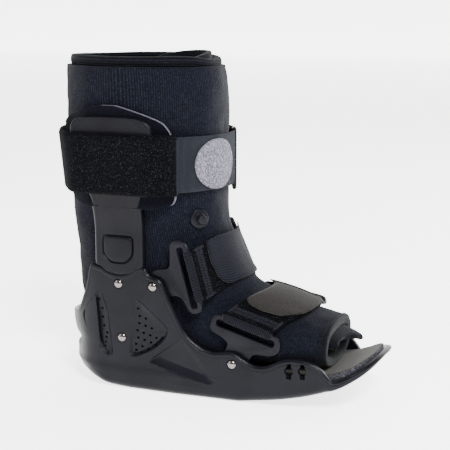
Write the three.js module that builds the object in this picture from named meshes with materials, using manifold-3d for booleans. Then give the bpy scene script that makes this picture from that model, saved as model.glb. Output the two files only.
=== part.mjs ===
// Medical walking boot: a moulded rocker shell with riveted uprights and strap brackets,
// a padded liner, a footbed and three hook-and-loop straps.
// Millimetres. +X points to the toe, +Z up and -Y to the outer (lateral) side of the boot.
// The origin lies on the ground, in the middle of the flat of the rocker sole.

import * as THREE from 'three';
import * as BufferGeometryUtils from 'three/addons/utils/BufferGeometryUtils.js';
import Module from 'manifold-3d';

const wasm = await Module();
wasm.setup();

// Driving dimensions of the shell
const shellLength = 318;
const shellWidth = 118;
const panelHeight = 119;
const shellWall = 4;
const rockerRise = 52;
const soleThickness = 17;
const lipThickness = 5;
const lipProud = 2;
const bottomRound = 7;
const rimWidth = 3.2;
const rimProud = 1.2;
const recessDepth = 1.6;
const heelWindowWidth = 58;
const heelWindowHeight = 15;
const ventHeight = 14;
const ventWidth = 4.2;
const ventSpacing = 12.5;

// Driving dimensions of the footbed and the liner
const footbedThickness = 7;
const linerToeRoom = 26;
const linerSideRoom = 2;
const linerLength = shellLength - linerToeRoom;
const linerHeight = 300;
const linerWidth = shellWidth - 2 * linerSideRoom;
const linerWall = 9;
const linerLift = 0.8;
const bindingHeight = 9;
const bindingThickness = 8;
const bindingStep = 3.5;
const toeBindingWidth = 9;
const toeBindingProud = 1;
const frontFlapRise = 13;
const frontFlapThickness = 6;
const toeFlapThickness = 6;
const toeFlapReach = 14;

// Driving dimensions of the uprights, their pads and their catches
const uprightWidth = 49;
const uprightThickness = 5;
const uprightProud = 1.5;
const paddleWidth = 81;
const paddleTop = 256;
const flareHeight = 183;
const leanStart = 152;
const footArcDepth = 9;
const tongueThickness = 3;
const tongueWidth = 34;
const catchWidth = 29;
const catchHeight = 24;
const catchRecess = 1.6;
const catchGroove = 1.1;
const padThickness = 5;
const padWidth = 112;
const padHeight = 86;

// Driving dimensions of the straps and their hardware
const strapWidth = 50;
const webbingThickness = 1.6;
const pileWidth = 54;
const pileThickness = 4;
const bandThickness = 3;
const tabThickness = 2;
const calfStrapHeight = 214;
const patchDiameter = 44;
const patchThickness = 1.4;
const bracketThickness = 3;
const ankleBracketSize = 66;
const forefootBracketSize = 66;
const barWidth = 4;
const slotWidth = 6.7;
const slotSlack = 8;
const ringFrame = 4;
const ringThickness = 3;
const ringOpening = 9;

// Driving dimensions of the rivets and the air valve
const rivetHead = 8.6;
const rivetDome = 2.4;
const rivetShank = 4;
const rivetSink = 1;
const valveFlange = 17;
const valveFlangeThickness = 2;
const valveKnob = 8.5;
const valveReach = 9;

// Clearance between neighbouring pieces
const gap = 0.3;

// Colours, roughness and metalness of the materials
const finishes = {
  shellPlastic: { color: 0x2e2e35, roughness: 0.55, metalness: 0 },
  linerKnit: { color: 0x1c1f28, roughness: 0.95, metalness: 0 },
  bindingKnit: { color: 0x24252c, roughness: 0.9, metalness: 0 },
  pile: { color: 0x0b0c10, roughness: 1, metalness: 0 },
  webbing: { color: 0x3a3f4d, roughness: 0.85, metalness: 0 },
  tabWeave: { color: 0x32333e, roughness: 0.85, metalness: 0 },
  greyFelt: { color: 0xa9a7b3, roughness: 0.95, metalness: 0 },
  padFoam: { color: 0x22232b, roughness: 0.9, metalness: 0 },
  footbedFoam: { color: 0x6b675f, roughness: 0.9, metalness: 0 },
  rivetSteel: { color: 0xb9b2b0, roughness: 0.2, metalness: 1 },
};

const material = (name) => new THREE.MeshStandardMaterial(finishes[name]);
const point = (x, y, z) => new THREE.Vector3(x, y, z);
const mix = (a, b, share) => a + (b - a) * share;
const steps = (count) => Array.from({ length: count + 1 }, (_, index) => index / count);

// Monotone curve through the rows of a table: the named column at one place along the rows
function follow(rows, column, place, placeColumn = 'along') {
  const last = rows.length - 1;
  const at = (index) => rows[index][placeColumn];
  const value = (index) => rows[index][column];
  if (place <= at(0)) return value(0);
  if (place >= at(last)) return value(last);
  const slope = (index) => (value(index + 1) - value(index)) / (at(index + 1) - at(index));
  const tangent = (index) => {
    if (index === 0) return slope(0);
    if (index === last) return slope(last - 1);
    const before = slope(index - 1);
    const after = slope(index);
    return before * after <= 0 ? 0 : (2 * before * after) / (before + after);
  };
  const index = rows.findIndex((row, number) => number < last && place <= at(number + 1));
  const span = at(index + 1) - at(index);
  const t = (place - at(index)) / span;
  const rise = value(index + 1) - value(index);
  const bend = (t - 1) * ((t - 1) * tangent(index) * span + t * tangent(index + 1) * span);
  return value(index) + rise * t * t * (3 - 2 * t) + t * bend;
}

// Solids and geometries

function outward(geometry) {
  const place = geometry.attributes.position;
  const corners = geometry.index.array;
  const [a, b, c] = [point(), point(), point()];
  let volume = 0;
  for (let i = 0; i < corners.length; i += 3) {
    a.fromBufferAttribute(place, corners[i]);
    b.fromBufferAttribute(place, corners[i + 1]);
    c.fromBufferAttribute(place, corners[i + 2]);
    volume += a.dot(b.cross(c));
  }
  if (volume < 0) {
    for (let i = 0; i < corners.length; i += 3) {
      [corners[i], corners[i + 1]] = [corners[i + 1], corners[i]];
    }
  }
  return geometry;
}

function meshGeometry(points, triangles) {
  const geometry = new THREE.BufferGeometry().setFromPoints(points);
  geometry.setIndex(triangles);
  return outward(geometry);
}

function solidOf(geometry) {
  const bare = geometry.clone();
  bare.deleteAttribute('normal');
  bare.deleteAttribute('uv');
  const merged = BufferGeometryUtils.mergeVertices(bare, 1e-4);
  const triVerts = Uint32Array.from(merged.index.array);
  const vertProperties = Float32Array.from(merged.attributes.position.array);
  return new wasm.Manifold(new wasm.Mesh({ numProp: 3, vertProperties, triVerts }));
}

function geometryOf(solid) {
  const { vertProperties, triVerts } = solid.getMesh();
  const geometry = new THREE.BufferGeometry();
  geometry.setAttribute('position', new THREE.BufferAttribute(vertProperties, 3));
  geometry.setIndex(new THREE.BufferAttribute(triVerts, 1));
  geometry.computeVertexNormals();
  return geometry;
}

// Closed skin through rings of equal count, with a fan over each end
function loft(rings) {
  const around = rings[0].length;
  const points = rings.flat();
  const triangles = [];
  for (let ring = 0; ring < rings.length - 1; ring += 1) {
    for (let i = 0; i < around; i += 1) {
      const next = (i + 1) % around;
      const [a, b] = [ring * around + i, ring * around + next];
      triangles.push(a, b, a + around, b, b + around, a + around);
    }
  }
  for (const end of [0, rings.length - 1]) {
    const middle = rings[end].reduce((sum, corner) => sum.add(corner), point()).divideScalar(around);
    const hub = points.push(middle) - 1;
    for (let i = 0; i < around; i += 1) {
      const [a, b] = [end * around + i, end * around + ((i + 1) % around)];
      if (end === 0) triangles.push(b, a, hub);
      else triangles.push(a, b, hub);
    }
  }
  return meshGeometry(points, triangles);
}

// Sheet of even thickness, centred on a grid of points
function sheet(grid, thickness) {
  const rows = grid.length;
  const columns = grid[0].length;
  const points = [];
  for (const sideOf of [0.5, -0.5]) {
    for (let i = 0; i < rows; i += 1) {
      for (let j = 0; j < columns; j += 1) {
        const along = grid[Math.min(i + 1, rows - 1)][j].clone().sub(grid[Math.max(i - 1, 0)][j]);
        const across = grid[i][Math.min(j + 1, columns - 1)].clone().sub(grid[i][Math.max(j - 1, 0)]);
        const normal = along.cross(across).normalize();
        points.push(grid[i][j].clone().addScaledVector(normal, thickness * sideOf));
      }
    }
  }
  const under = rows * columns;
  const triangles = [];
  const quad = (a, b, c, d) => triangles.push(a, b, c, a, c, d);
  for (let i = 0; i < rows - 1; i += 1) {
    for (let j = 0; j < columns - 1; j += 1) {
      const corner = i * columns + j;
      quad(corner, corner + columns, corner + columns + 1, corner + 1);
      quad(under + corner, under + corner + 1, under + corner + columns + 1, under + corner + columns);
    }
  }
  const rim = [];
  for (let j = 0; j < columns - 1; j += 1) rim.push(j);
  for (let i = 0; i < rows - 1; i += 1) rim.push(i * columns + columns - 1);
  for (let j = columns - 1; j > 0; j -= 1) rim.push((rows - 1) * columns + j);
  for (let i = rows - 1; i > 0; i -= 1) rim.push(i * columns);
  rim.forEach((corner, index) => {
    const next = rim[(index + 1) % rim.length];
    quad(corner, next, next + under, corner + under);
  });
  return meshGeometry(points, triangles);
}

// Outline with its corners rounded
function roundedShape(corners, radius, Kind = THREE.Shape) {
  const shape = new Kind();
  const count = corners.length;
  corners.forEach((corner, index) => {
    const before = corners[(index + count - 1) % count];
    const after = corners[(index + 1) % count];
    const cut = Math.min(radius, before.distanceTo(corner) * 0.49, after.distanceTo(corner) * 0.49);
    const start = corner.clone().lerp(before, cut / before.distanceTo(corner));
    const finish = corner.clone().lerp(after, cut / after.distanceTo(corner));
    if (index === 0) shape.moveTo(start.x, start.y);
    else shape.lineTo(start.x, start.y);
    shape.quadraticCurveTo(corner.x, corner.y, finish.x, finish.y);
  });
  shape.closePath();
  return shape;
}

const flat = (x, y) => new THREE.Vector2(x, y);

// Upright outline (x, z) made as thick as the stretch from y0 to y1
function plateY(shape, y0, y1, curveSegments = 2) {
  const geometry = new THREE.ExtrudeGeometry(shape, {
    depth: Math.abs(y1 - y0), bevelEnabled: false, curveSegments,
  });
  geometry.rotateX(Math.PI / 2);
  geometry.translate(0, Math.max(y0, y1), 0);
  return solidOf(geometry);
}

function pinY(x, z, radius, y0, y1, sides = 8) {
  const geometry = new THREE.CylinderGeometry(radius, radius, Math.abs(y1 - y0), sides);
  geometry.translate(x, (y0 + y1) / 2, z);
  return solidOf(geometry);
}

// Plan, sole and panel edge of the shell.
// along: share of the shell's length from the origin; side: share of half the shell's width
const shellPlan = [
  { along: -0.349, side: 0.22 },
  { along: -0.34, side: 0.42 },
  { along: -0.322, side: 0.62 },
  { along: -0.295, side: 0.78 },
  { along: -0.256, side: 0.92 },
  { along: -0.2, side: 1 },
  { along: 0, side: 1 },
  { along: 0.13, side: 0.975 },
  { along: 0.25, side: 0.95 },
  { along: 0.38, side: 0.93 },
  { along: 0.46, side: 0.91 },
  { along: 0.52, side: 0.87 },
  { along: 0.565, side: 0.79 },
  { along: 0.6, side: 0.65 },
  { along: 0.626, side: 0.44 },
  { along: 0.638, side: 0.2 },
];

// rise: height of the underside, as a share of the rocker's rise;
// thick: thickness of the floor, from 0 at the lip's to 1 at the sole's
const solePlan = [
  { along: -0.349, rise: 0.58, thick: 0.4 },
  { along: -0.338, rise: 0.36, thick: 0.6 },
  { along: -0.32, rise: 0.17, thick: 0.8 },
  { along: -0.292, rise: 0.1, thick: 0.95 },
  { along: -0.24, rise: 0.06, thick: 1 },
  { along: -0.16, rise: 0.02, thick: 1 },
  { along: -0.09, rise: 0, thick: 1 },
  { along: 0.22, rise: 0, thick: 1 },
  { along: 0.28, rise: 0.045, thick: 0.95 },
  { along: 0.35, rise: 0.11, thick: 0.8 },
  { along: 0.415, rise: 0.2, thick: 0.5 },
  { along: 0.47, rise: 0.3, thick: 0.2 },
  { along: 0.525, rise: 0.44, thick: 0 },
  { along: 0.566, rise: 0.57, thick: 0 },
  { along: 0.6, rise: 0.71, thick: 0 },
  { along: 0.623, rise: 0.84, thick: 0 },
  { along: 0.638, rise: 0.97, thick: 0 },
];

// Edge of the side panels, from the heel band over the ankle to the toe lip.
// up: share of the panel's height
const panelRear = [
  { along: -0.297, up: -0.1 },
  { along: -0.324, up: 0.06 },
  { along: -0.339, up: 0.17 },
  { along: -0.339, up: 0.35 },
  { along: -0.344, up: 0.46 },
  { along: -0.354, up: 0.53 },
  { along: -0.331, up: 0.555 },
  { along: -0.297, up: 0.58 },
  { along: -0.283, up: 0.62 },
  { along: -0.257, up: 0.74 },
  { along: -0.236, up: 0.87 },
  { along: -0.229, up: 0.965 },
];
const panelFront = [
  { along: -0.046, up: 0.985 },
  { along: -0.033, up: 0.938 },
  { along: -0.008, up: 0.922 },
  { along: 0.01, up: 0.865 },
  { along: 0.041, up: 0.69 },
  { along: 0.075, up: 0.52 },
  { along: 0.113, up: 0.428 },
  { along: 0.163, up: 0.38 },
  { along: 0.211, up: 0.396 },
  { along: 0.248, up: 0.357 },
  { along: 0.292, up: 0.311 },
  { along: 0.33, up: 0.328 },
  { along: 0.374, up: 0.382 },
  { along: 0.421, up: 0.395 },
  { along: 0.462, up: 0.37 },
  { along: 0.494, up: 0.315 },
];

const xOf = (row) => row.along * shellLength;
const heelX = xOf(shellPlan[0]);
const toeX = xOf(shellPlan[shellPlan.length - 1]);
const halfWidth = (x) => (follow(shellPlan, 'side', x / shellLength) * shellWidth) / 2;
const soleBottom = (x) => follow(solePlan, 'rise', x / shellLength) * rockerRise;
const footbedTop = (x) => floorTop(x) + gap + footbedThickness;
const linerRest = (x) => footbedTop(x) + linerLift;
const lipTop = (x) => floorTop(x) + lipProud;

// Places along a length, closer together at both ends
const stations = (from, to, count) => steps(count).map(
  (share) => mix(from, to, (1 - Math.cos(Math.PI * share)) / 2),
);

// Top of the shell's floor: straight stretches between these places
const floorLine = stations(heelX + 2 * shellWall, toeX - shellWall, 20).map((x) => {
  const thick = follow(solePlan, 'thick', x / shellLength);
  return { x, z: soleBottom(x) + mix(lipThickness, soleThickness, thick) };
});

function floorTop(x) {
  const ahead = floorLine.findIndex((place) => place.x >= x);
  const index = ahead < 0 ? floorLine.length - 1 : Math.max(ahead, 1);
  const [from, to] = [floorLine[index - 1], floorLine[index]];
  return mix(from.z, to.z, (x - from.x) / (to.x - from.x));
}

const tall = panelHeight * 1.4;

// Outside of the shell grown by `grow`, before its edge is trimmed
function tub(grow) {
  const rings = stations(heelX, toeX, 24).map((x) => {
    const half = halfWidth(x) + grow;
    const low = soleBottom(x);
    const round = Math.min(bottomRound, half * 0.6);
    const profile = [
      [0, low], [half - round, low], [half - round * 0.3, low + round * 0.3],
      [half, low + round], [half, tall],
    ];
    const near = profile.map(([y, z]) => point(x, -y, z));
    const far = profile.slice(1).reverse().map(([y, z]) => point(x, y, z));
    return [...near, ...far];
  });
  return solidOf(loft(rings));
}

// Space inside the shell, above its floor
function shellCavity() {
  const rings = floorLine.map(({ x, z: low }) => {
    const half = Math.max(halfWidth(x) - shellWall, shellWall);
    return [point(x, -half, low), point(x, half, low), point(x, half, 2 * tall), point(x, -half, 2 * tall)];
  });
  return solidOf(loft(rings));
}

// Side view of the shell, down to below the ground
function panelOutline() {
  const flatPoint = (row) => flat(xOf(row), row.up * panelHeight);
  const rear = new THREE.SplineCurve(panelRear.map(flatPoint)).getPoints(17);
  const front = new THREE.SplineCurve(panelFront.map(flatPoint)).getPoints(26);
  const lipFrom = xOf(panelFront[panelFront.length - 1]) + shellWall;
  const lip = steps(5).map((share) => {
    const x = mix(lipFrom, toeX, share);
    return flat(x, lipTop(x));
  });
  const toe = [flat(toeX + shellWall, lipTop(toeX)), flat(toeX + shellWall, -tall)];
  const top = [flat(uprightX - uprightWidth / 2 - shellWall, panelHeight), flat(uprightX, panelHeight)];
  return new THREE.Shape([...rear, ...top, ...front, ...lip, ...toe, flat(rear[0].x, -tall)]);
}

// Sunk fields on the panels. along, up: shares of the shell's length and the panel's height
const panelRecesses = [
  [
    { along: -0.187, up: 0.8 },
    { along: -0.258, up: 0.56 },
    { along: -0.16, up: 0.24 },
  ],
  [
    { along: -0.083, up: 0.785 },
    { along: 0.024, up: 0.515 },
    { along: -0.035, up: 0.355 },
    { along: -0.113, up: 0.265 },
  ],
  [
    { along: 0.067, up: 0.48 },
    { along: 0.172, up: 0.135 },
    { along: -0.045, up: 0.265 },
  ],
];
const recessRound = 5;

// Rivets on each side. along, up: shares of the shell's length and the panel's height
const rivetPlaces = {
  upright_top: { along: -0.135, up: 0.85 },
  ankle_bracket: { along: -0.025, up: 0.85 },
  upright_foot: { along: -0.126, up: 0.42 },
  forefoot_bracket: { along: 0.217, up: 0.3 },
};
const rivetX = (name) => xOf(rivetPlaces[name]);
const rivetZ = (name) => rivetPlaces[name].up * panelHeight;

const uprightX = -0.1305 * shellLength;
const ventX = 0.4065 * shellLength;
const ventZ = 0.303 * panelHeight;
const heelWindowZ = 0.34 * panelHeight;

// Lower end of an upright: an arc that sits in a notch of the panel
const footArcRadius = ((uprightWidth / 2) ** 2 + footArcDepth ** 2) / (2 * footArcDepth);
const footArcZ = panelHeight - footArcDepth + footArcRadius;
const uprightHalfAt = (z, grow = 0) => {
  const radius = footArcRadius + grow;
  const drop = footArcZ - z;
  const arc = drop < radius ? Math.sqrt(radius ** 2 - drop ** 2) : 0;
  return z < footArcZ - footArcRadius * 0.5 ? Math.min(uprightWidth / 2 + grow, arc) : uprightWidth / 2 + grow;
};

function uprightNotch() {
  const bottom = panelHeight - footArcDepth - gap;
  const heights = steps(8).map((share) => mix(bottom, panelHeight + gap, share ** 1.6));
  const left = heights.map((z) => flat(uprightX - uprightHalfAt(z, gap), z));
  const right = heights.slice(1).reverse().map((z) => flat(uprightX + uprightHalfAt(z, gap), z));
  const roof = [flat(left[left.length - 1].x, tall), flat(right[0].x, tall)];
  return plateY(new THREE.Shape([...left, ...roof, ...right]), -shellWidth, shellWidth);
}

function vent(x) {
  const half = ventHeight / 2;
  const wide = ventWidth / 2;
  const arm = ventWidth;
  const corners = [
    flat(x - wide, ventZ - half), flat(x + wide, ventZ - half), flat(x + wide, ventZ - wide),
    flat(x + arm, ventZ), flat(x + wide, ventZ + wide), flat(x + wide, ventZ + half),
    flat(x - wide, ventZ + half), flat(x - wide, ventZ + wide), flat(x - arm, ventZ),
    flat(x - wide, ventZ - wide),
  ];
  return plateY(roundedShape(corners, ventWidth / 2), -shellWidth, shellWidth);
}

function heelWindow() {
  const half = heelWindowWidth / 2;
  const tallHalf = heelWindowHeight / 2;
  const corners = [flat(-half, -tallHalf), flat(half, -tallHalf), flat(half, tallHalf), flat(-half, tallHalf)];
  const reach = shellLength * 0.1;
  const geometry = new THREE.ExtrudeGeometry(roundedShape(corners, tallHalf), {
    depth: reach, bevelEnabled: false, curveSegments: 4,
  });
  geometry.rotateX(Math.PI / 2);
  geometry.rotateZ(Math.PI / 2);
  geometry.translate(heelX - shellWall, 0, heelWindowZ);
  return solidOf(geometry);
}

function rockerShell() {
  const outline = plateY(panelOutline(), -shellWidth, shellWidth);
  const lower = outline.translate([-rimWidth, 0, -rimWidth]);
  const rim = outline.subtract(lower).intersect(tub(rimProud));
  const fields = panelRecesses
    .map((field) => field.map((row) => flat(xOf(row), row.up * panelHeight)))
    .map((corners) => plateY(roundedShape(corners, recessRound), -shellWidth, shellWidth))
    .map((prism) => prism.subtract(tub(-recessDepth)));
  let shell = tub(0).intersect(outline).add(rim).subtract(shellCavity()).subtract(uprightNotch());
  for (const field of fields) shell = shell.subtract(field);
  for (const share of [-0.5, 0.5]) shell = shell.subtract(vent(ventX + share * ventSpacing));
  for (const name of Object.keys(rivetPlaces)) {
    const face = halfWidth(rivetX(name)) - rivetSink;
    shell = shell.subtract(pinY(rivetX(name), rivetZ(name), rivetShank / 2 + gap, -shellWidth, shellWidth));
    for (const side of [-1, 1]) {
      const sink = pinY(rivetX(name), rivetZ(name), rivetHead / 2 + gap * 2, side * face, side * shellWidth, 12);
      shell = shell.subtract(sink);
    }
  }
  return shell.subtract(heelWindow());
}

// Footbed. along: share of the shell's length; side: share of half the shell's width
const footbedPlan = [
  { along: -0.31, side: 0.2 },
  { along: -0.289, side: 0.46 },
  { along: -0.243, side: 0.68 },
  { along: -0.12, side: 0.78 },
  { along: 0.3, side: 0.77 },
  { along: 0.47, side: 0.74 },
  { along: 0.535, side: 0.7 },
  { along: 0.562, side: 0.62 },
  { along: 0.577, side: 0.5 },
  { along: 0.585, side: 0.3 },
];

function footbed() {
  const [first, last] = [xOf(footbedPlan[0]), xOf(footbedPlan[footbedPlan.length - 1])];
  const between = floorLine.map(({ x }) => x).filter((x) => x > first + 1 && x < last - 1);
  const toeCorner = footbedPlan.slice(-4, -1).map(xOf);
  const places = [...new Set([first, ...between, ...toeCorner, last])].sort((a, b) => a - b);
  const rings = places.map((x) => {
    const half = (follow(footbedPlan, 'side', x / shellLength) * shellWidth) / 2;
    const low = floorTop(x) + gap;
    const high = footbedTop(x);
    return [point(x, -half, low), point(x, half, low), point(x, half, high), point(x, -half, high)];
  });
  return solidOf(loft(rings));
}

// Liner: a padded tube from the cuff round the heel to the open toe.
// Each section runs from a front point to a back point. frontX, backX: shares of the liner's
// length; frontUp, backUp: of its height; side: share of its half width; at least the
// footbed's height is kept at the back point.
const linerSections = [
  { frontX: 0.1216, frontUp: 1, backX: -0.3955, backUp: 1, side: 0.965 },
  { frontX: 0.13, frontUp: 0.96, backX: -0.397, backUp: 0.96, side: 0.995 },
  { frontX: 0.1346, frontUp: 0.873, backX: -0.3955, backUp: 0.873, side: 1 },
  { frontX: 0.1346, frontUp: 0.787, backX: -0.394, backUp: 0.787, side: 1 },
  { frontX: 0.135, frontUp: 0.7, backX: -0.39, backUp: 0.7, side: 0.985 },
  { frontX: 0.135, frontUp: 0.62, backX: -0.385, backUp: 0.62, side: 0.955 },
  { frontX: 0.1345, frontUp: 0.567, backX: -0.378, backUp: 0.547, side: 0.915 },
  { frontX: 0.142, frontUp: 0.52, backX: -0.372, backUp: 0.467, side: 0.875 },
  { frontX: 0.155, frontUp: 0.477, backX: -0.368, backUp: 0.39, side: 0.85 },
  { frontX: 0.172, frontUp: 0.423, backX: -0.364, backUp: 0.318, side: 0.845 },
  { frontX: 0.202, frontUp: 0.37, backX: -0.358, backUp: 0.264, side: 0.835 },
  { frontX: 0.24, frontUp: 0.333, backX: -0.344, backUp: 0.222, side: 0.82 },
  { frontX: 0.288, frontUp: 0.31, backX: -0.3355, backUp: 0.13, side: 0.805 },
  { frontX: 0.342, frontUp: 0.297, backX: -0.29, backUp: 0.085, side: 0.8 },
  { frontX: 0.397, frontUp: 0.287, backX: -0.14, backUp: 0, side: 0.8 },
  { frontX: 0.452, frontUp: 0.28, backX: 0.05, backUp: 0, side: 0.8 },
  { frontX: 0.5, frontUp: 0.277, backX: 0.25, backUp: 0, side: 0.79 },
  { frontX: 0.538, frontUp: 0.273, backX: 0.42, backUp: 0, side: 0.77 },
  { frontX: 0.562, frontUp: 0.267, backX: 0.52, backUp: 0, side: 0.74 },
].map((row, along) => ({ ...row, along }));
const linerSquare = 2.4;
const toeSection = linerSections.length - 1;

// One section of the liner, `inset` inside its outside
function linerSection(along, inset = 0) {
  const value = (column) => follow(linerSections, column, along);
  const back = point(value('backX') * linerLength, 0, value('backUp') * linerHeight);
  back.z = Math.max(back.z, linerRest(back.x));
  const front = point(value('frontX') * linerLength, 0, value('frontUp') * linerHeight);
  const reach = front.clone().sub(back);
  const axis = reach.clone().normalize();
  front.addScaledVector(axis, -inset);
  back.addScaledVector(axis, inset);
  const middle = front.clone().add(back).divideScalar(2);
  return { middle, half: front.sub(middle), side: (value('side') * linerWidth) / 2 - inset };
}

// Point on the liner at an angle from the front, positive on the lateral side
function linerPoint(along, angle, inset = 0) {
  const { middle, half, side } = linerSection(along, inset);
  const power = (value) => Math.sign(value) * Math.abs(value) ** (2 / linerSquare);
  return middle.clone().addScaledVector(half, power(Math.cos(angle)))
    .add(point(0, -side * power(Math.sin(angle)), 0));
}

// The same point moved out along the liner's skin normal
function offLiner(along, angle, off) {
  const small = 0.02;
  const reach = Math.min(Math.max(along, small), toeSection - small);
  const lengthwise = linerPoint(reach + small, angle).sub(linerPoint(reach - small, angle));
  const around = linerPoint(reach, angle + small).sub(linerPoint(reach, angle - small));
  const normal = lengthwise.cross(around).normalize();
  const place = linerPoint(along, angle);
  const outside = place.clone().sub(linerSection(along).middle);
  return place.addScaledVector(normal, normal.dot(outside) < 0 ? -off : off);
}

const linerAround = 24;
const linerAngles = Array.from({ length: linerAround }, (_, i) => (2 * Math.PI * i) / linerAround);
const linerRing = (along, inset) => linerAngles.map((angle) => linerPoint(along, angle, inset));
const raised = (ring, x, z) => ring.map((corner) => corner.clone().add(point(x, 0, z)));

// Sections of the liner between two places, half a step apart round the ankle
function linerRings(from, to, inset, fine = true) {
  const places = [];
  for (let along = Math.ceil(from); along <= to; along += 1) {
    places.push(along);
    if (fine && along > 6 && along < 12) places.push(along + 0.5);
  }
  return places.map((along) => linerRing(along, inset));
}

// Where the liner ends and its toe binding begins
const toeStep = linerSection(toeSection).middle.distanceTo(linerSection(toeSection - 1).middle);
const toeEnd = toeSection - toeBindingWidth / toeStep;

function liner() {
  const outer = linerRings(0, toeSection - 1, 0);
  outer.push(linerRing(toeEnd, 0));
  const inner = linerRings(0, toeSection, linerWall, false);
  inner.unshift(raised(inner[0], 0, linerWall));
  inner.push(raised(inner[inner.length - 1], toeFlapReach, 0));
  return solidOf(loft(outer)).subtract(solidOf(loft(inner)));
}

function topBinding() {
  const ring = (inset, z) => raised(linerRing(0, inset), 0, z);
  const edge = bindingThickness * 0.2;
  const outer = [
    ring(bindingStep + edge, gap), ring(bindingStep, gap + edge),
    ring(bindingStep, gap + bindingHeight - edge), ring(bindingStep + edge, gap + bindingHeight),
  ];
  const inset = bindingStep + bindingThickness;
  const inner = [ring(inset, -gap), ring(inset, bindingHeight + 2 * gap)];
  return solidOf(loft(outer)).subtract(solidOf(loft(inner)));
}

function toeBinding() {
  const from = toeEnd + (2 * gap) / toeStep;
  const places = [0, 0.25, 0.75, 1].map((share) => mix(from, toeSection, share));
  const outer = places.map((along, index) => {
    const proud = index === 1 || index === 2 ? toeBindingProud : 0;
    const ring = linerRing(along, -proud);
    return ring.map((corner) => corner.setZ(Math.max(corner.z, linerRest(corner.x))));
  });
  const inner = [
    raised(linerRing(from, linerWall), -toeBindingWidth, 0), linerRing(from, linerWall),
    linerRing(toeSection, linerWall), raised(linerRing(toeSection, linerWall), toeBindingWidth, 0),
  ];
  return solidOf(loft(outer)).subtract(solidOf(loft(inner)));
}

// Flap of the liner's inner side that shows above the binding at the front of the cuff
const flapAngles = { from: 0.12 * Math.PI, to: -0.62 * Math.PI };
const flapDepth = linerHeight * 0.17;

function frontFlap() {
  const inset = bindingStep + bindingThickness + 2 * gap + 0.25 + frontFlapThickness / 2;
  const crest = (share) => frontFlapRise * Math.sin(Math.PI * Math.min(share + 0.12, 1)) ** 0.5;
  const grid = steps(9).map((share) => {
    const angle = mix(flapAngles.from, flapAngles.to, share);
    const edge = linerPoint(0, angle, inset);
    const high = edge.clone().setZ(linerHeight + crest(share));
    return steps(2).map((down) => high.clone().setZ(mix(high.z, linerHeight - flapDepth, down)));
  });
  return solidOf(sheet(grid, frontFlapThickness));
}

// Inner toe flap of the far side, tucked under the toe binding
const toeFlapAngles = { from: 0.06 * Math.PI, to: -0.47 * Math.PI };

function toeFlap() {
  const inset = linerWall + toeFlapThickness / 2 + 2 * gap + 0.5;
  const grid = steps(10).map((share) => {
    const angle = mix(toeFlapAngles.from, toeFlapAngles.to, share);
    const start = linerPoint(toeSection - 1, angle, inset);
    const edge = linerPoint(toeSection, angle, inset);
    const reach = toeFlapReach * (0.55 + 0.45 * Math.sin(Math.PI * share));
    const tip = edge.clone().add(point(reach, 0, -reach * 0.45));
    return [start, edge, tip];
  });
  return solidOf(sheet(grid, toeFlapThickness));
}

// Uprights, their pads and catches; side is -1 on the lateral side and 1 on the medial
const wallFace = (x) => halfWidth(x) - shellWall;
const ankleFace = wallFace(uprightX);
const paddleInner = linerWidth / 2 + padThickness + 4 * gap + 1;
const footOuter = halfWidth(uprightX) + uprightProud;
const footThickness = footOuter - ankleFace + gap + tongueThickness;
const paddleOuter = paddleInner + uprightThickness;

// up: share of the way from the ankle to the top of the paddle; flare: share of its widening
const paddleRows = [
  { up: 0, flare: 0, edge: 1 },
  { up: 0.31, flare: 0, edge: 1 },
  { up: 0.47, flare: 0.25, edge: 1 },
  { up: 0.62, flare: 0.85, edge: 1 },
  { up: 0.8, flare: 1, edge: 1 },
  { up: 0.93, flare: 1, edge: 1 },
  { up: 0.97, flare: 1, edge: 0.96 },
  { up: 0.99, flare: 1, edge: 0.87 },
  { up: 1, flare: 1, edge: 0.7 },
];

function uprightRing(side, z, half, outer, thickness) {
  const bevel = thickness * 0.4;
  const inner = outer - thickness;
  const corners = [
    [-half, inner], [half, inner], [half, outer - bevel], [half - bevel, outer],
    [-half + bevel, outer], [-half, outer - bevel],
  ];
  return corners.map(([x, y]) => point(uprightX + x, side * y, z));
}

function uprightOuter(z) {
  const share = Math.max(0, (z - leanStart) / (paddleTop - leanStart));
  return mix(footOuter, paddleOuter, Math.min(share * 2.4, 1));
}

function upright(side) {
  const rings = [];
  const low = panelHeight - footArcDepth + gap;
  for (const share of [0, 0.06, 0.2, 0.45, 1]) {
    const z = mix(low, panelHeight, share);
    rings.push(uprightRing(side, z, uprightHalfAt(z + 0.05), footOuter, footThickness));
  }
  for (const row of paddleRows) {
    const z = mix(leanStart, paddleTop, row.up);
    const half = mix(uprightWidth, paddleWidth, row.flare) * row.edge * 0.5;
    const thickness = mix(footThickness, uprightThickness, Math.min(row.up * 3, 1));
    rings.push(uprightRing(side, z, half, uprightOuter(z), thickness));
  }
  const bottom = rivetZ('upright_foot') - 3 * rivetShank;
  const tongue = [
    flat(uprightX - tongueWidth / 2, bottom), flat(uprightX + tongueWidth / 2, bottom),
    flat(uprightX + tongueWidth / 2, leanStart), flat(uprightX - tongueWidth / 2, leanStart),
  ];
  const inner = ankleFace - gap;
  const plate = plateY(roundedShape(tongue, 3 * rivetShank), side * inner, side * (inner - tongueThickness));
  let body = solidOf(loft(rings)).add(plate);
  for (const name of ['upright_top', 'upright_foot']) {
    body = body.subtract(pinY(rivetX(name), rivetZ(name), rivetShank / 2 + gap, 0, side * shellWidth));
  }
  const floor = footOuter - catchRecess;
  return body.subtract(plateY(catchShape(catchGroove), side * floor, side * shellWidth));
}

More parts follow.
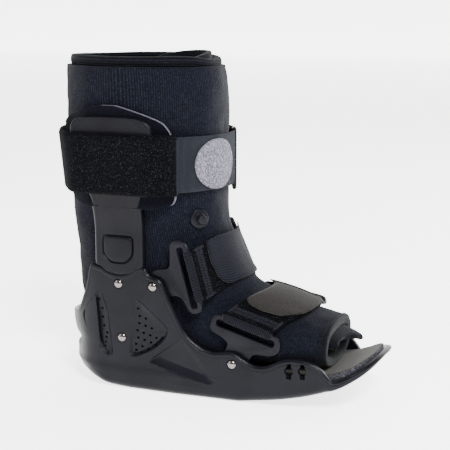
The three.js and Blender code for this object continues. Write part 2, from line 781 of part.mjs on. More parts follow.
function catchShape(grow) {
  const half = catchWidth / 2 + grow;
  const high = catchZ + catchHeight / 2 + grow;
  const low = catchZ - catchHeight / 2 - grow;
  const corners = [
    flat(uprightX - half, high), flat(uprightX + half, high), flat(uprightX + half, low + half * 0.3),
    flat(uprightX + half * 0.45, low), flat(uprightX - half * 0.45, low), flat(uprightX - half, low + half * 0.3),
  ];
  return roundedShape(corners, catchWidth * 0.14);
}

function uprightCatch(side) {
  const floor = footOuter - catchRecess + gap;
  return plateY(catchShape(0), side * floor, side * (footOuter + gap));
}

const catchZ = 0.125 * panelHeight + panelHeight;

// Side of the straight cuff: distance from the middle plane at a place x and height z
function cuffSide(x, z, off) {
  const along = linerSections.findIndex((row) => row.frontUp * linerHeight <= z);
  const from = Math.max(along - 1, 0);
  const high = linerSections[from].frontUp * linerHeight;
  const low = linerSections[from + 1].frontUp * linerHeight;
  const { middle, half, side } = linerSection(from + (high - z) / (high - low), -off);
  const share = Math.min(Math.abs((x - middle.x) / half.x), 0.999);
  return side * (1 - share ** linerSquare) ** (1 / linerSquare);
}

// Outline of the pad round its middle. up: share of its height; fore, aft: of half its width
const padRows = [
  { up: 0, aft: 0.45, fore: 0.72 },
  { up: 0.04, aft: 0.75, fore: 0.93 },
  { up: 0.12, aft: 0.86, fore: 0.98 },
  { up: 0.4, aft: 0.92, fore: 1 },
  { up: 0.68, aft: 0.99, fore: 0.94 },
  { up: 0.82, aft: 0.99, fore: 0.82 },
  { up: 0.91, aft: 0.8, fore: 0.55 },
  { up: 0.97, aft: 0.5, fore: 0.22 },
  { up: 1, aft: 0.22, fore: 0.02 },
];
const padX = uprightX - 0.01 * padWidth;
const padFoot = flareHeight - 3;

function uprightPad(side) {
  const off = padThickness / 2 + gap + 0.8;
  const grid = padRows.map((row) => {
    const z = padFoot + row.up * padHeight;
    return steps(6).map((share) => {
      const x = padX + mix(-row.aft, row.fore, share) * padWidth * 0.5;
      return point(x, side * cuffSide(x, z, off), z);
    });
  });
  return solidOf(sheet(grid, padThickness));
}

// Strap brackets riveted inside the panels. x, z: shares of the bracket's size, from its rivet
const brackets = {
  ankle: {
    rivet: 'ankle_bracket',
    size: ankleBracketSize,
    barTop: { x: 0.455, z: 0.6 },
    barTilt: -74.3,
    outline: [
      { x: -0.13, z: -0.15 }, { x: -0.11, z: 0.15 }, { x: 0.04, z: 0.24 }, { x: 0.24, z: 0.255 },
      { x: 0.24, z: 0.66 }, 'bar', { x: 0.56, z: -0.36 }, { x: 0.4, z: -0.1 }, { x: 0.1, z: -0.14 },
    ],
    strapFrom: 7.75,
    strapTo: 10.5,
  },
  forefoot: {
    rivet: 'forefoot_bracket',
    size: forefootBracketSize,
    barTop: { x: -0.235, z: 0.64 },
    barTilt: -15.8,
    outline: [
      { x: -0.15, z: -0.12 }, { x: -0.14, z: 0.15 }, { x: -0.07, z: 0.27 }, { x: -0.19, z: 0.36 },
      { x: -0.37, z: 0.44 }, 'bar', { x: 0.67, z: 0.22 }, { x: 0.54, z: 0.15 }, { x: 0.26, z: 0.16 },
      { x: 0.17, z: -0.12 },
    ],
    strapFrom: 12.1,
    strapTo: 15.05,
  },
};

const plateOuter = (bracket) => wallFace(rivetX(bracket.rivet) + 0.3 * bracket.size) - gap;

// Bar of a bracket: its ends, the plate's outward normal and the way that the strap leaves
function bracketBar(bracket, side) {
  const y = side * (plateOuter(bracket) - bracketThickness / 2);
  const tilt = THREE.MathUtils.degToRad(bracket.barTilt);
  const axis = point(Math.cos(tilt), 0, Math.sin(tilt));
  const top = point(
    rivetX(bracket.rivet) + bracket.barTop.x * bracket.size, y,
    rivetZ(bracket.rivet) + bracket.barTop.z * bracket.size,
  );
  const middle = top.clone().addScaledVector(axis, (strapWidth + slotSlack) / 2);
  return {
    middle, axis, out: point(0, side, 0), leave: point(-axis.z, 0, axis.x), thickness: bracketThickness,
  };
}

function bracketPlate(name, side) {
  const bracket = brackets[name];
  const [x0, z0] = [rivetX(bracket.rivet), rivetZ(bracket.rivet)];
  const bar = bracketBar(bracket, side);
  const half = (strapWidth + slotSlack) / 2;
  const byBar = (along, across) => {
    const place = bar.middle.clone().addScaledVector(bar.axis, along).addScaledVector(bar.leave, across);
    return flat(place.x, place.z);
  };
  const reach = half + barWidth;
  const corners = bracket.outline.flatMap((row) => (row === 'bar'
    ? [byBar(-reach, barWidth / 2), byBar(reach, barWidth / 2)]
    : [flat(x0 + row.x * bracket.size, z0 + row.z * bracket.size)]));
  const [near, far] = [-barWidth / 2, -barWidth / 2 - slotWidth];
  const slot = roundedShape([byBar(-half, near), byBar(half, near), byBar(half, far), byBar(-half, far)], slotWidth / 2);
  const outer = plateOuter(bracket);
  const plate = plateY(roundedShape(corners, barWidth * 1.6), side * outer, side * (outer - bracketThickness));
  return plate.subtract(plateY(slot, 0, side * shellWidth))
    .subtract(pinY(x0, z0, rivetShank / 2 + gap, 0, side * shellWidth));
}

// Loop of webbing round a bar
function eye(bar, width) {
  const inner = [barWidth / 2 + gap, bar.thickness / 2 + gap];
  const outer = inner.map((half) => half + webbingThickness);
  const box = ([a, b]) => [flat(-a, -b), flat(a, -b), flat(a, b), flat(-a, b)];
  const shape = roundedShape(box(outer), outer[1] * 0.8);
  shape.holes.push(roundedShape(box(inner), inner[1] * 0.3, THREE.Path));
  const geometry = new THREE.ExtrudeGeometry(shape, { depth: width, bevelEnabled: false, curveSegments: 1 });
  geometry.translate(0, 0, -width / 2);
  const along = bar.leave.clone().cross(bar.out);
  geometry.applyMatrix4(new THREE.Matrix4().makeBasis(bar.leave, bar.out, along));
  geometry.translate(...bar.middle.toArray());
  return solidOf(geometry);
}

const eyeReach = barWidth / 2 + gap + webbingThickness * 0.7;

// Where the two edges of a strap leave a bar
function barEdges(bar, width) {
  const start = bar.middle.clone().addScaledVector(bar.leave, eyeReach);
  return [-0.5, 0.5].map((share) => start.clone().addScaledVector(bar.axis, share * width));
}

// Distance from the liner to the middle of the strap that lies on it
const strapOff = bandThickness / 2 + gap + 1;
const ringAngle = -0.19 * Math.PI;
const touchAngle = { ankle: 0.13 * Math.PI, forefoot: 0.21 * Math.PI };

// Row across a strap that lies on the liner
function rowOnLiner(bracket, angle, off) {
  return steps(2).map((share) => offLiner(mix(bracket.strapFrom, bracket.strapTo, share), angle, off));
}

// Bar of the ring that the strap goes through, lying along the liner's far side
function ringBars(name) {
  const bracket = brackets[name];
  const from = offLiner(bracket.strapFrom, ringAngle, strapOff);
  const to = offLiner(bracket.strapTo, ringAngle, strapOff);
  const axis = to.clone().sub(from).normalize();
  const middle = from.clone().add(to).divideScalar(2);
  const home = bracketBar(bracket, 1);
  const goal = home.middle.clone().addScaledVector(home.leave, eyeReach);
  const leave = goal.sub(middle);
  leave.addScaledVector(axis, -leave.dot(axis)).normalize();
  const out = leave.clone().cross(axis).normalize();
  if (out.y < 0) out.negate();
  middle.addScaledVector(out, barWidth / 2);
  const far = middle.clone().addScaledVector(leave, ringOpening + barWidth);
  return {
    near: { middle, axis, out, leave: leave.clone().negate(), thickness: ringThickness },
    far: { middle: far, axis, out, leave, thickness: ringThickness },
  };
}

function ringPlate(near, far) {
  const half = (strapWidth + slotSlack) / 2;
  const reach = ringOpening + barWidth;
  const box = (x0, x1, y) => [flat(x0, -y), flat(x1, -y), flat(x1, y), flat(x0, y)];
  const shape = roundedShape(box(-barWidth / 2, reach + barWidth / 2, half + ringFrame), barWidth);
  const hole = box(barWidth / 2, reach - barWidth / 2, half);
  shape.holes.push(roundedShape(hole, barWidth / 2, THREE.Path));
  const geometry = new THREE.ExtrudeGeometry(shape, { depth: ringThickness, bevelEnabled: false, curveSegments: 2 });
  geometry.translate(0, 0, -ringThickness / 2);
  const across = near.out.clone().cross(far.leave);
  geometry.applyMatrix4(new THREE.Matrix4().makeBasis(far.leave, across, near.out));
  geometry.translate(...near.middle.toArray());
  return solidOf(geometry);
}

const rowBetween = ([a, b]) => steps(2).map((share) => a.clone().lerp(b, share));

// Rows of the strap from the lateral bar, over the free stretch and the liner, to the ring
function strapRows(name) {
  const bracket = brackets[name];
  const first = rowBetween(barEdges(bracketBar(bracket, -1), strapWidth));
  const last = rowBetween(barEdges(ringBars(name).near, strapWidth));
  const resting = steps(6)
    .map((share) => mix(touchAngle[name], ringAngle * 0.72, share))
    .map((angle) => rowOnLiner(bracket, angle, strapOff));
  const free = [0, 0.28, 0.55, 0.8].map((share) => first.map(
    (corner, index) => corner.clone().lerp(resting[0][index], share),
  ));
  return [...free, ...resting, last];
}

function strap(name) {
  return solidOf(sheet(strapRows(name), bandThickness))
    .add(eye(bracketBar(brackets[name], -1), strapWidth))
    .add(eye(ringBars(name).near, strapWidth));
}

// Rows moved off a strap, away from the foot inside it
function lifted(rows, off, centre) {
  return rows.map((row, i) => row.map((corner, j) => {
    const along = rows[Math.min(i + 1, rows.length - 1)][j].clone().sub(rows[Math.max(i - 1, 0)][j]);
    const across = row[Math.min(j + 1, row.length - 1)].clone().sub(row[Math.max(j - 1, 0)]);
    const away = along.cross(across).normalize();
    const turn = away.dot(corner.clone().sub(centre)) < 0 ? -1 : 1;
    return corner.clone().addScaledVector(away, turn * off);
  }));
}

// Hook tab folded back over the strap, from the row where it ends to the ring
const tabFirstRow = { ankle: 2, forefoot: 5 };

function strapTab(name) {
  const bracket = brackets[name];
  const rows = strapRows(name);
  const centre = linerSection((bracket.strapFrom + bracket.strapTo) / 2).middle;
  const off = bandThickness / 2 + gap + 0.4 + tabThickness / 2;
  const over = lifted(rows, off, centre).slice(tabFirstRow[name], rows.length - 1);
  return solidOf(sheet(over, tabThickness));
}

// Webbing that holds the ring to the medial bracket
function ringWebbing(name) {
  const bracket = brackets[name];
  const bar = bracketBar(bracket, 1);
  const { far } = ringBars(name);
  const first = rowBetween(barEdges(far, strapWidth));
  const last = rowBetween(barEdges(bar, strapWidth));
  const grid = steps(4).map((share) => first.map((corner, index) => corner.clone().lerp(last[index], share)));
  return solidOf(sheet(grid, bandThickness)).add(eye(bar, strapWidth)).add(eye(far, strapWidth));
}

// Path of the calf strap: the tightest loop round the liner, the pads and the uprights
function calfLoop(off) {
  const ring = calfSections.flatMap((along) => linerRing(along, 0)).map(({ x, y }) => flat(x, y));
  for (const side of [-1, 1]) {
    for (const end of [-1, 1]) {
      ring.push(flat(uprightX + end * paddleWidth * 0.5, side * (paddleOuter + 3 * gap)));
      const padEnd = padX + end * padWidth * 0.5;
      ring.push(flat(padEnd, side * (cuffSide(padEnd, calfStrapHeight, padThickness + gap) + 2)));
    }
  }
  const hull = convexHull(ring);
  return hull.map((corner, index) => {
    const before = hull[(index + hull.length - 1) % hull.length];
    const after = hull[(index + 1) % hull.length];
    const tangent = after.clone().sub(before).normalize();
    return corner.clone().add(flat(tangent.y, -tangent.x).multiplyScalar(off));
  });
}

function convexHull(points) {
  const sorted = [...points].sort((a, b) => a.x - b.x || a.y - b.y);
  const turn = (o, a, b) => (a.x - o.x) * (b.y - o.y) - (a.y - o.y) * (b.x - o.x);
  const chain = (list) => list.reduce((kept, next) => {
    while (kept.length > 1 && turn(kept[kept.length - 2], kept[kept.length - 1], next) <= 0) kept.pop();
    return [...kept, next];
  }, []);
  const lower = chain(sorted);
  const upper = chain(sorted.reverse());
  return [...lower.slice(0, -1), ...upper.slice(0, -1)];
}

const calfSections = [2.8, 4, 5];

// Place on a closed loop, at an angle from the front round the cuff's middle
const cuffMiddle = linerSection(calfSections[1]).middle.x;

function onLoop(loop, angle) {
  const ray = flat(Math.cos(angle), Math.sin(angle));
  const centre = flat(cuffMiddle, 0);
  for (let i = 0; i < loop.length; i += 1) {
    const a = loop[i].clone().sub(centre);
    const b = loop[(i + 1) % loop.length].clone().sub(centre);
    const [from, to] = [ray.cross(a), ray.cross(b)];
    if (from <= 0 && to > 0) {
      const hit = a.lerp(b, from / (from - to));
      if (hit.dot(ray) > 0) return hit.add(centre);
    }
  }
  throw new Error('The loop does not go round its middle');
}

const calfAngles = { pileEnd: -0.262 * Math.PI, ring: 0.085 * Math.PI, patch: -0.078 * Math.PI };
const webbingOff = bandThickness / 2 + gap + 0.8;
const pileOff = pileThickness / 2 + gap + 0.7;

// Bar of the calf ring; turn is -1 for the bar that holds the webbing and 1 for the other
function calfBars() {
  const loop = calfLoop(webbingOff + barWidth / 2);
  const place = onLoop(loop, calfAngles.ring);
  const ahead = onLoop(loop, calfAngles.ring + 0.1);
  const leave = point(ahead.x - place.x, ahead.y - place.y, 0).normalize();
  const out = point(leave.y, -leave.x, 0);
  const axis = point(0, 0, 1);
  const middle = point(place.x, place.y, calfStrapHeight);
  const far = middle.clone().addScaledVector(leave, ringOpening + barWidth);
  return {
    near: { middle, axis, out, leave: leave.clone().negate(), thickness: ringThickness },
    far: { middle: far, axis, out, leave, thickness: ringThickness },
  };
}

function bandRow(loop, angle, width) {
  const { x, y } = onLoop(loop, angle);
  return [-0.5, 0.5].map((share) => point(x, y, calfStrapHeight + share * width));
}

// Angles of the loop's own corners between two angles, with both ends
function cornerAngles(loop, from, to) {
  const turn = 2 * Math.PI;
  const least = 0.04;
  const angles = loop.map((corner) => Math.atan2(corner.y, corner.x - cuffMiddle))
    .map((angle) => angle + turn * Math.ceil((from - angle) / turn))
    .filter((angle) => angle > from + least && angle < to - least)
    .sort((a, b) => a - b)
    .filter((angle, index, all) => index === 0 || angle - all[index - 1] > least / 4);
  return [from, ...angles, to];
}

const angleOf = (place) => Math.atan2(place.y, place.x - cuffMiddle);

function calfWebbing() {
  const { near } = calfBars();
  const loop = calfLoop(webbingOff);
  const end = near.middle.clone().addScaledVector(near.leave, eyeReach);
  const from = calfAngles.pileEnd + gap / cuffMiddleReach;
  const rows = cornerAngles(loop, from, angleOf(end) - 0.06).map((angle) => bandRow(loop, angle, strapWidth));
  rows.push([-0.5, 0.5].map((share) => end.clone().add(point(0, 0, share * strapWidth))));
  return solidOf(sheet(rows, bandThickness)).add(eye(near, strapWidth));
}

function calfPile() {
  const { far } = calfBars();
  const loop = calfLoop(pileOff);
  const end = far.middle.clone().addScaledVector(far.leave, eyeReach);
  const from = angleOf(end) + 0.08;
  const to = 2 * Math.PI + calfAngles.pileEnd;
  const rows = cornerAngles(loop, from, to).map((angle) => bandRow(loop, angle, pileWidth));
  rows.unshift([-0.5, 0.5].map((share) => end.clone().add(point(0, 0, share * pileWidth))));
  return solidOf(sheet(rows, pileThickness)).add(eye(far, strapWidth));
}

const cuffMiddleReach = linerSection(calfSections[1]).half.length();

// Round felt patch on the front of the calf webbing
function calfPatch() {
  const loop = calfLoop(webbingOff + bandThickness / 2 + 2 * gap + 0.3 + patchThickness / 2);
  const spread = steps(6).map((share) => 2 * share - 1);
  const grid = spread.map((u) => spread.map((v) => {
    const across = u * Math.sqrt(1 - (v * v) / 2) * patchDiameter * 0.5;
    const up = v * Math.sqrt(1 - (u * u) / 2) * patchDiameter * 0.5;
    const { x, y } = onLoop(loop, calfAngles.patch + across / cuffMiddleReach);
    return point(x, y, calfStrapHeight + up);
  }));
  return solidOf(sheet(grid, patchThickness));
}

// Air valve on the front of the liner
const valveSeat = { along: 6.45, angle: 0.2 * Math.PI };

function valveFrame() {
  const seat = offLiner(valveSeat.along, valveSeat.angle, 0);
  const normal = offLiner(valveSeat.along, valveSeat.angle, 1).sub(seat).normalize();
  const turn = new THREE.Quaternion().setFromUnitVectors(point(0, 1, 0), normal);
  return { seat, normal, turn };
}

function valvePiece(profile) {
  return new THREE.LatheGeometry(profile.map(([radius, height]) => flat(radius, height)), 12);
}

const flangeLift = gap;
const flangeProfile = [
  [0, 0], [valveFlange / 2, 0], [valveFlange / 2, valveFlangeThickness * 0.5],
  [valveFlange / 2 - valveFlangeThickness * 0.5, valveFlangeThickness], [0, valveFlangeThickness],
];
const knobProfile = [
  [0, 0], [valveKnob * 0.38, 0], [valveKnob * 0.38, valveReach * 0.35], [valveKnob / 2, valveReach * 0.45],
  [valveKnob / 2, valveReach * 0.9], [valveKnob * 0.42, valveReach], [0, valveReach],
];

// Rivets
const rivetSides = 8;

function rivetGeometry(grip) {
  const head = rivetHead / 2;
  const arc = steps(3).map((share) => {
    const angle = (Math.PI / 2) * (1 - share);
    return flat(head * Math.cos(angle), rivetDome * Math.sin(angle));
  });
  arc[0].x = 0;
  const foot = rivetShank * 0.85;
  const profile = [
    ...arc, flat(rivetShank / 2, 0), flat(rivetShank / 2, -grip), flat(foot, -grip),
    flat(foot, -grip - rivetSink), flat(0, -grip - rivetSink),
  ].reverse();
  return new THREE.LatheGeometry(profile, rivetSides);
}

// Inner face of what a rivet holds against the panel
function heldFace(name) {
  const bracket = Object.values(brackets).find(({ rivet }) => rivet === name);
  return bracket ? plateOuter(bracket) - bracketThickness : ankleFace - gap - tongueThickness;
}

function rivetPlace(name, side) {
  const y = halfWidth(rivetX(name)) - rivetSink + gap;
  const grip = y - heldFace(name) + gap;
  return { geometry: rivetGeometry(grip), y: side * y, x: rivetX(name), z: rivetZ(name) };
}

// The whole boot
const boot = new THREE.Group();

function addGeometry(name, geometry, finish) {
  const mesh = new THREE.Mesh(geometry, material(finish));
  mesh.name = name;
  boot.add(mesh);
  return mesh;
}

const addPiece = (name, solid, finish) => addGeometry(name, geometryOf(solid), finish);

addPiece('rocker_shell', rockerShell(), 'shellPlastic');
addPiece('footbed', footbed(), 'footbedFoam');
addPiece('liner', liner(), 'linerKnit');
addPiece('liner_top_binding', topBinding(), 'bindingKnit');
addPiece('liner_toe_binding', toeBinding(), 'bindingKnit');
addPiece('liner_front_flap', frontFlap(), 'bindingKnit');
addPiece('liner_toe_flap', toeFlap(), 'bindingKnit');

for (const [place, side] of [['lateral', -1], ['medial', 1]]) {
  addPiece(`upright_${place}`, upright(side), 'shellPlastic');
  addPiece(`upright_catch_${place}`, uprightCatch(side), 'shellPlastic');
  addPiece(`upright_pad_${place}`, uprightPad(side), 'padFoam');
  for (const name of Object.keys(brackets)) {
    addPiece(`${name}_bracket_${place}`, bracketPlate(name, side), 'shellPlastic');
  }
  for (const name of Object.keys(rivetPlaces)) {
    const { geometry, x, y, z } = rivetPlace(name, side);
    const rivet = addGeometry(`rivet_${name}_${place}`, geometry, 'rivetSteel');
    rivet.position.set(x, y, z);
    if (side < 0) rivet.rotation.x = Math.PI;
  }
}

for (const name of Object.keys(brackets)) {
  const { near, far } = ringBars(name);
  addPiece(`${name}_strap`, strap(name), 'pile');
  addPiece(`${name}_strap_tab`, strapTab(name), 'tabWeave');
  addPiece(`${name}_ring`, ringPlate(near, far), 'shellPlastic');
  addPiece(`${name}_ring_webbing`, ringWebbing(name), 'webbing');
}

const calfRingBars = calfBars();
addPiece('calf_strap_webbing', calfWebbing(), 'webbing');
addPiece('calf_strap_pile', calfPile(), 'pile');
addPiece('calf_ring', ringPlate(calfRingBars.near, calfRingBars.far), 'shellPlastic');
addPiece('calf_patch', calfPatch(), 'greyFelt');

const { seat, normal, turn } = valveFrame();
const valveFlangeMesh = addGeometry('valve_flange', valvePiece(flangeProfile), 'shellPlastic');
const valveKnobMesh = addGeometry('valve_knob', valvePiece(knobProfile), 'shellPlastic');
valveFlangeMesh.position.copy(seat).addScaledVector(normal, flangeLift);
valveKnobMesh.position.copy(seat).addScaledVector(normal, flangeLift + valveFlangeThickness + gap);
for (const mesh of [valveFlangeMesh, valveKnobMesh]) mesh.quaternion.copy(turn);

export default boot;
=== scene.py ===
"""Looks of a medical walking boot: moulded nylon shell and uprights, padded knit liner,
webbing and loop-pile straps. Sizes and places are in millimetres: +X to the toe, +Z up,
-Y to the outer side, which the camera sees. The origin lies under the sole."""

import math

import bmesh
import bpy
import numpy as np
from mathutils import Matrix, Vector, noise


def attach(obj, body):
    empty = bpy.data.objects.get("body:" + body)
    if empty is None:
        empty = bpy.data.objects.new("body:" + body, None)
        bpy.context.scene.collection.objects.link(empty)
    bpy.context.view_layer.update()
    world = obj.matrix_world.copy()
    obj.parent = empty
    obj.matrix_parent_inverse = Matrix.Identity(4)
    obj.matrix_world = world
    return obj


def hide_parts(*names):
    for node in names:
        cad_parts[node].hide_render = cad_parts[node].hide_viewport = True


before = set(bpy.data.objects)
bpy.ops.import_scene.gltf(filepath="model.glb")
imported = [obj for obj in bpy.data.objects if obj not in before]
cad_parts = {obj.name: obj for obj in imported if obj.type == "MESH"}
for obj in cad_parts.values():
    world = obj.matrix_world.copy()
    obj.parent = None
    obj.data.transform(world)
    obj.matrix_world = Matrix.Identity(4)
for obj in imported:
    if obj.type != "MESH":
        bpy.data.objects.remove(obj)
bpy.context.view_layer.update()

MM = 0.001
LATERAL, MEDIAL = -1, 1


# Curves


def follow(places, values, at):
    """Monotone curve through the values, read at these places."""
    places, values, at = (np.asarray(row, float) for row in (places, values, at))
    span = np.diff(places)
    slope = np.diff(values) / span
    before, after = slope[:-1], slope[1:]
    same_way = before * after > 0
    tangent = np.concatenate(([slope[0]], np.zeros(len(before)), [slope[-1]]))
    tangent[1:-1][same_way] = (2 * before * after / (before + after + 1e-12))[same_way]
    at = np.clip(at, places[0], places[-1])
    i = np.clip(np.searchsorted(places, at, side="right") - 1, 0, len(span) - 1)
    t = (at - places[i]) / span[i]
    bend = (t - 1) * span[i] * ((t - 1) * tangent[i] + t * tangent[i + 1])
    return values[i] + (values[i + 1] - values[i]) * t * t * (3 - 2 * t) + t * bend


def smooth_line(points, step, closed=False):
    """Smooth curve through the points, at even steps along its length."""
    points = np.asarray(points, float)
    if closed:
        points = np.concatenate((points[-2:], points, points[:3]))
    chord = np.concatenate(([0], np.cumsum(np.linalg.norm(np.diff(points, axis=0), axis=1))))
    tangent = np.gradient(points, chord, axis=0)
    dense = []
    for i in range(len(points) - 1):
        t = np.linspace(0, 1, 24, endpoint=False)[:, None]
        span = chord[i + 1] - chord[i]
        h = (2 * t**3 - 3 * t**2 + 1, t**3 - 2 * t**2 + t, 3 * t**2 - 2 * t**3, t**3 - t**2)
        dense.append(
            h[0] * points[i] + h[1] * span * tangent[i] + h[2] * points[i + 1] + h[3] * span * tangent[i + 1]
        )
    dense = np.concatenate(dense[2:-2]) if closed else np.concatenate(dense + [points[-1:]])
    if closed:
        dense = np.concatenate((dense, dense[:1]))
    return even_steps(dense, step, closed)


def even_steps(line, step, closed=False):
    """The same line with its points at even distances; a closed one doesn't repeat its first."""
    length = np.concatenate(([0], np.cumsum(np.linalg.norm(np.diff(line, axis=0), axis=1))))
    count = max(int(round(length[-1] / step)), 3)
    at = np.linspace(0, length[-1], count + 1)
    even = np.stack([np.interp(at, length, line[:, axis]) for axis in range(line.shape[1])], -1)
    return even[:-1] if closed else even


def rounded(corners, radius, arc=5):
    """Closed outline with its corners rounded."""
    corners = np.asarray(corners, float)
    outline = []
    for i, corner in enumerate(corners):
        before, after = corners[i - 1] - corner, corners[(i + 1) % len(corners)] - corner
        reach = min(radius, np.linalg.norm(before) * 0.48, np.linalg.norm(after) * 0.48)
        start = corner + before / np.linalg.norm(before) * reach
        end = corner + after / np.linalg.norm(after) * reach
        for t in np.linspace(0, 1, arc):
            outline.append((1 - t) ** 2 * start + 2 * t * (1 - t) * corner + t * t * end)
    return np.array(outline)


def ease(low, high, value):
    """0 below low, 1 above high and smooth between them."""
    t = np.clip((np.asarray(value, float) - low) / (high - low), 0, 1)
    return t * t * (3 - 2 * t)


# Meshes


def select_only(obj):
    bpy.ops.object.select_all(action="DESELECT")
    obj.select_set(True)
    bpy.context.view_layer.objects.active = obj


def face_out(obj):
    """Faces of a closed piece turned outwards."""
    shape = bmesh.new()
    shape.from_mesh(obj.data)
    bmesh.ops.recalc_face_normals(shape, faces=shape.faces)
    shape.to_mesh(obj.data)
    shape.free()


def skin(name, grid, wrap=True, ends="capped", uv=None):
    """Quads over rows of points. wrap closes each row into a ring; ends says whether the first
    and last rows are capped, joined to each other or open. uv is in metres."""
    grid = np.asarray(grid, float)
    rows, columns = grid.shape[:2]
    last_row = rows if ends == "joined" else rows - 1
    i, j = np.meshgrid(np.arange(last_row), np.arange(columns if wrap else columns - 1), indexing="ij")
    i, j = i.ravel(), j.ravel()
    corners = [(i, j), (i, j + 1), (i + 1, j + 1), (i + 1, j)]
    faces = np.stack([(a % rows) * columns + b % columns for a, b in corners], -1).tolist()
    if ends == "capped":
        faces.append(list(range(columns))[::-1])
        faces.append([(rows - 1) * columns + k for k in range(columns)])
    mesh = bpy.data.meshes.new(name)
    mesh.from_pydata((grid.reshape(-1, 3) * MM).tolist(), [], faces)
    if uv is not None:
        flat = np.stack([uv[a, b] for a, b in corners], 1).reshape(-1, 2)
        spare = len(mesh.loops) - len(flat)
        flat = np.concatenate((flat, np.zeros((spare, 2))))
        mesh.uv_layers.new(name="cloth").data.foreach_set("uv", flat.astype(np.float32).ravel() * MM)
    mesh.shade_smooth()
    obj = bpy.data.objects.new(name, mesh)
    bpy.context.scene.collection.objects.link(obj)
    face_out(obj)
    return obj


def plate(name, outline, outer, inner):
    """Flat plate in the X-Z plane, cut to an outline, between two distances from the middle."""
    bpy.ops.object.select_all(action="DESELECT")
    bpy.ops.mesh.primitive_circle_add(vertices=len(outline), radius=1, fill_type="NGON")
    obj = bpy.context.object
    obj.name = obj.data.name = name
    for vertex, (x, z) in zip(obj.data.vertices, outline):
        vertex.co = (x * MM, outer * MM, z * MM)
    bpy.ops.object.mode_set(mode="EDIT")
    bpy.ops.mesh.select_all(action="SELECT")
    bpy.ops.mesh.extrude_region_move(TRANSFORM_OT_translate={"value": (0, (inner - outer) * MM, 0)})
    bpy.ops.object.mode_set(mode="OBJECT")
    face_out(obj)
    return obj


def settle_place(obj):
    """Object moved to the origin, unturned and unscaled, with its place in its mesh."""
    select_only(obj)
    bpy.ops.object.transform_apply(location=True, rotation=True, scale=True)
    return obj


def apply_modifier(obj, kind, **settings):
    modifier = obj.modifiers.new(kind.lower(), kind)
    for name, value in settings.items():
        setattr(modifier, name, value)
    select_only(obj)
    bpy.ops.object.modifier_apply(modifier=modifier.name)


def cut(obj, *cutters):
    """Takes each cutter out of the piece and removes it."""
    for cutter in cutters:
        apply_modifier(obj, "BOOLEAN", object=cutter, operation="DIFFERENCE", solver="MANIFOLD")
        bpy.data.objects.remove(cutter)


def soften(obj, width, segments=2, angle=35):
    """Rounds the sharp edges of a hard piece and smooths the rest."""
    apply_modifier(
        obj, "BEVEL", width=width * MM, segments=segments, limit_method="ANGLE",
        angle_limit=math.radians(angle), harden_normals=False,
    )
    smooth_by_angle(obj, angle)


def smooth_by_angle(obj, angle=35):
    select_only(obj)
    bpy.ops.object.shade_smooth_by_angle(angle=math.radians(angle))


def copy_of(obj, name):
    twin = obj.copy()
    twin.data = obj.data.copy()
    twin.name = twin.data.name = name
    bpy.context.scene.collection.objects.link(twin)
    return twin


def mirrored(obj, name):
    """Copy for the other side of the boot, facing out."""
    twin = copy_of(obj, name)
    for vertex in twin.data.vertices:
        vertex.co.y = -vertex.co.y
    twin.data.flip_normals()
    return twin


def joined(name, objects):
    select_only(objects[0])
    for obj in objects[1:]:
        obj.select_set(True)
    bpy.ops.object.join()
    objects[0].name = objects[0].data.name = name
    return objects[0]


def paint(obj, *materials):
    """Gives a piece its finishes; all its faces take the first."""
    obj.data.materials.clear()
    for material in materials:
        obj.data.materials.append(material)
    return obj


def second_finish(obj, wanted):
    """Gives the second finish to the faces whose normal passes the test."""
    for face in obj.data.polygons:
        face.material_index = int(wanted(face.normal))


def seat_on_frame(obj, stands_for=()):
    """Puts a piece on the frame, in the place of these solids."""
    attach(obj, "root")
    if stands_for:
        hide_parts(*stands_for)
    return obj


def dress(obj, materials, stands_for=()):
    return seat_on_frame(paint(obj, *materials), stands_for)


# Materials


def hex_colour(code):
    """sRGB hex colour as linear RGBA."""
    parts = [int(code[i : i + 2], 16) / 255 for i in (1, 3, 5)]
    return (*[p / 12.92 if p <= 0.04045 else ((p + 0.055) / 1.055) ** 2.4 for p in parts], 1)


def add_node(material, kind, settings=None, links=None):
    """Adds one node; settings are properties or input values, links feed its inputs."""
    made = material.node_tree.nodes.new("ShaderNode" + kind)
    for name, value in (settings or {}).items():
        if isinstance(name, str) and hasattr(made, name):
            setattr(made, name, value)
        else:
            made.inputs[name].default_value = value
    for name, source in (links or {}).items():
        material.node_tree.links.new(source, made.inputs[name])
    return made


def new_material(name, **surface):
    """Material with a plain Principled shader, its sockets set."""
    material = bpy.data.materials.new(name)
    material.use_nodes = True
    shader = material.node_tree.nodes["Principled BSDF"]
    for socket, value in surface.items():
        shader.inputs[socket.replace("_", " ")].default_value = value
    return material, shader


def ramp_between(material, source, stops):
    """Colour ramp with these (place, colour) stops."""
    ramp = add_node(material, "ValToRGB", links={"Fac": source})
    elements = ramp.color_ramp.elements
    while len(elements) < len(stops):
        elements.new(0.5)
    for element, (place, code) in zip(elements, stops):
        element.position = place
        element.color = hex_colour(code)
    return ramp.outputs["Color"]


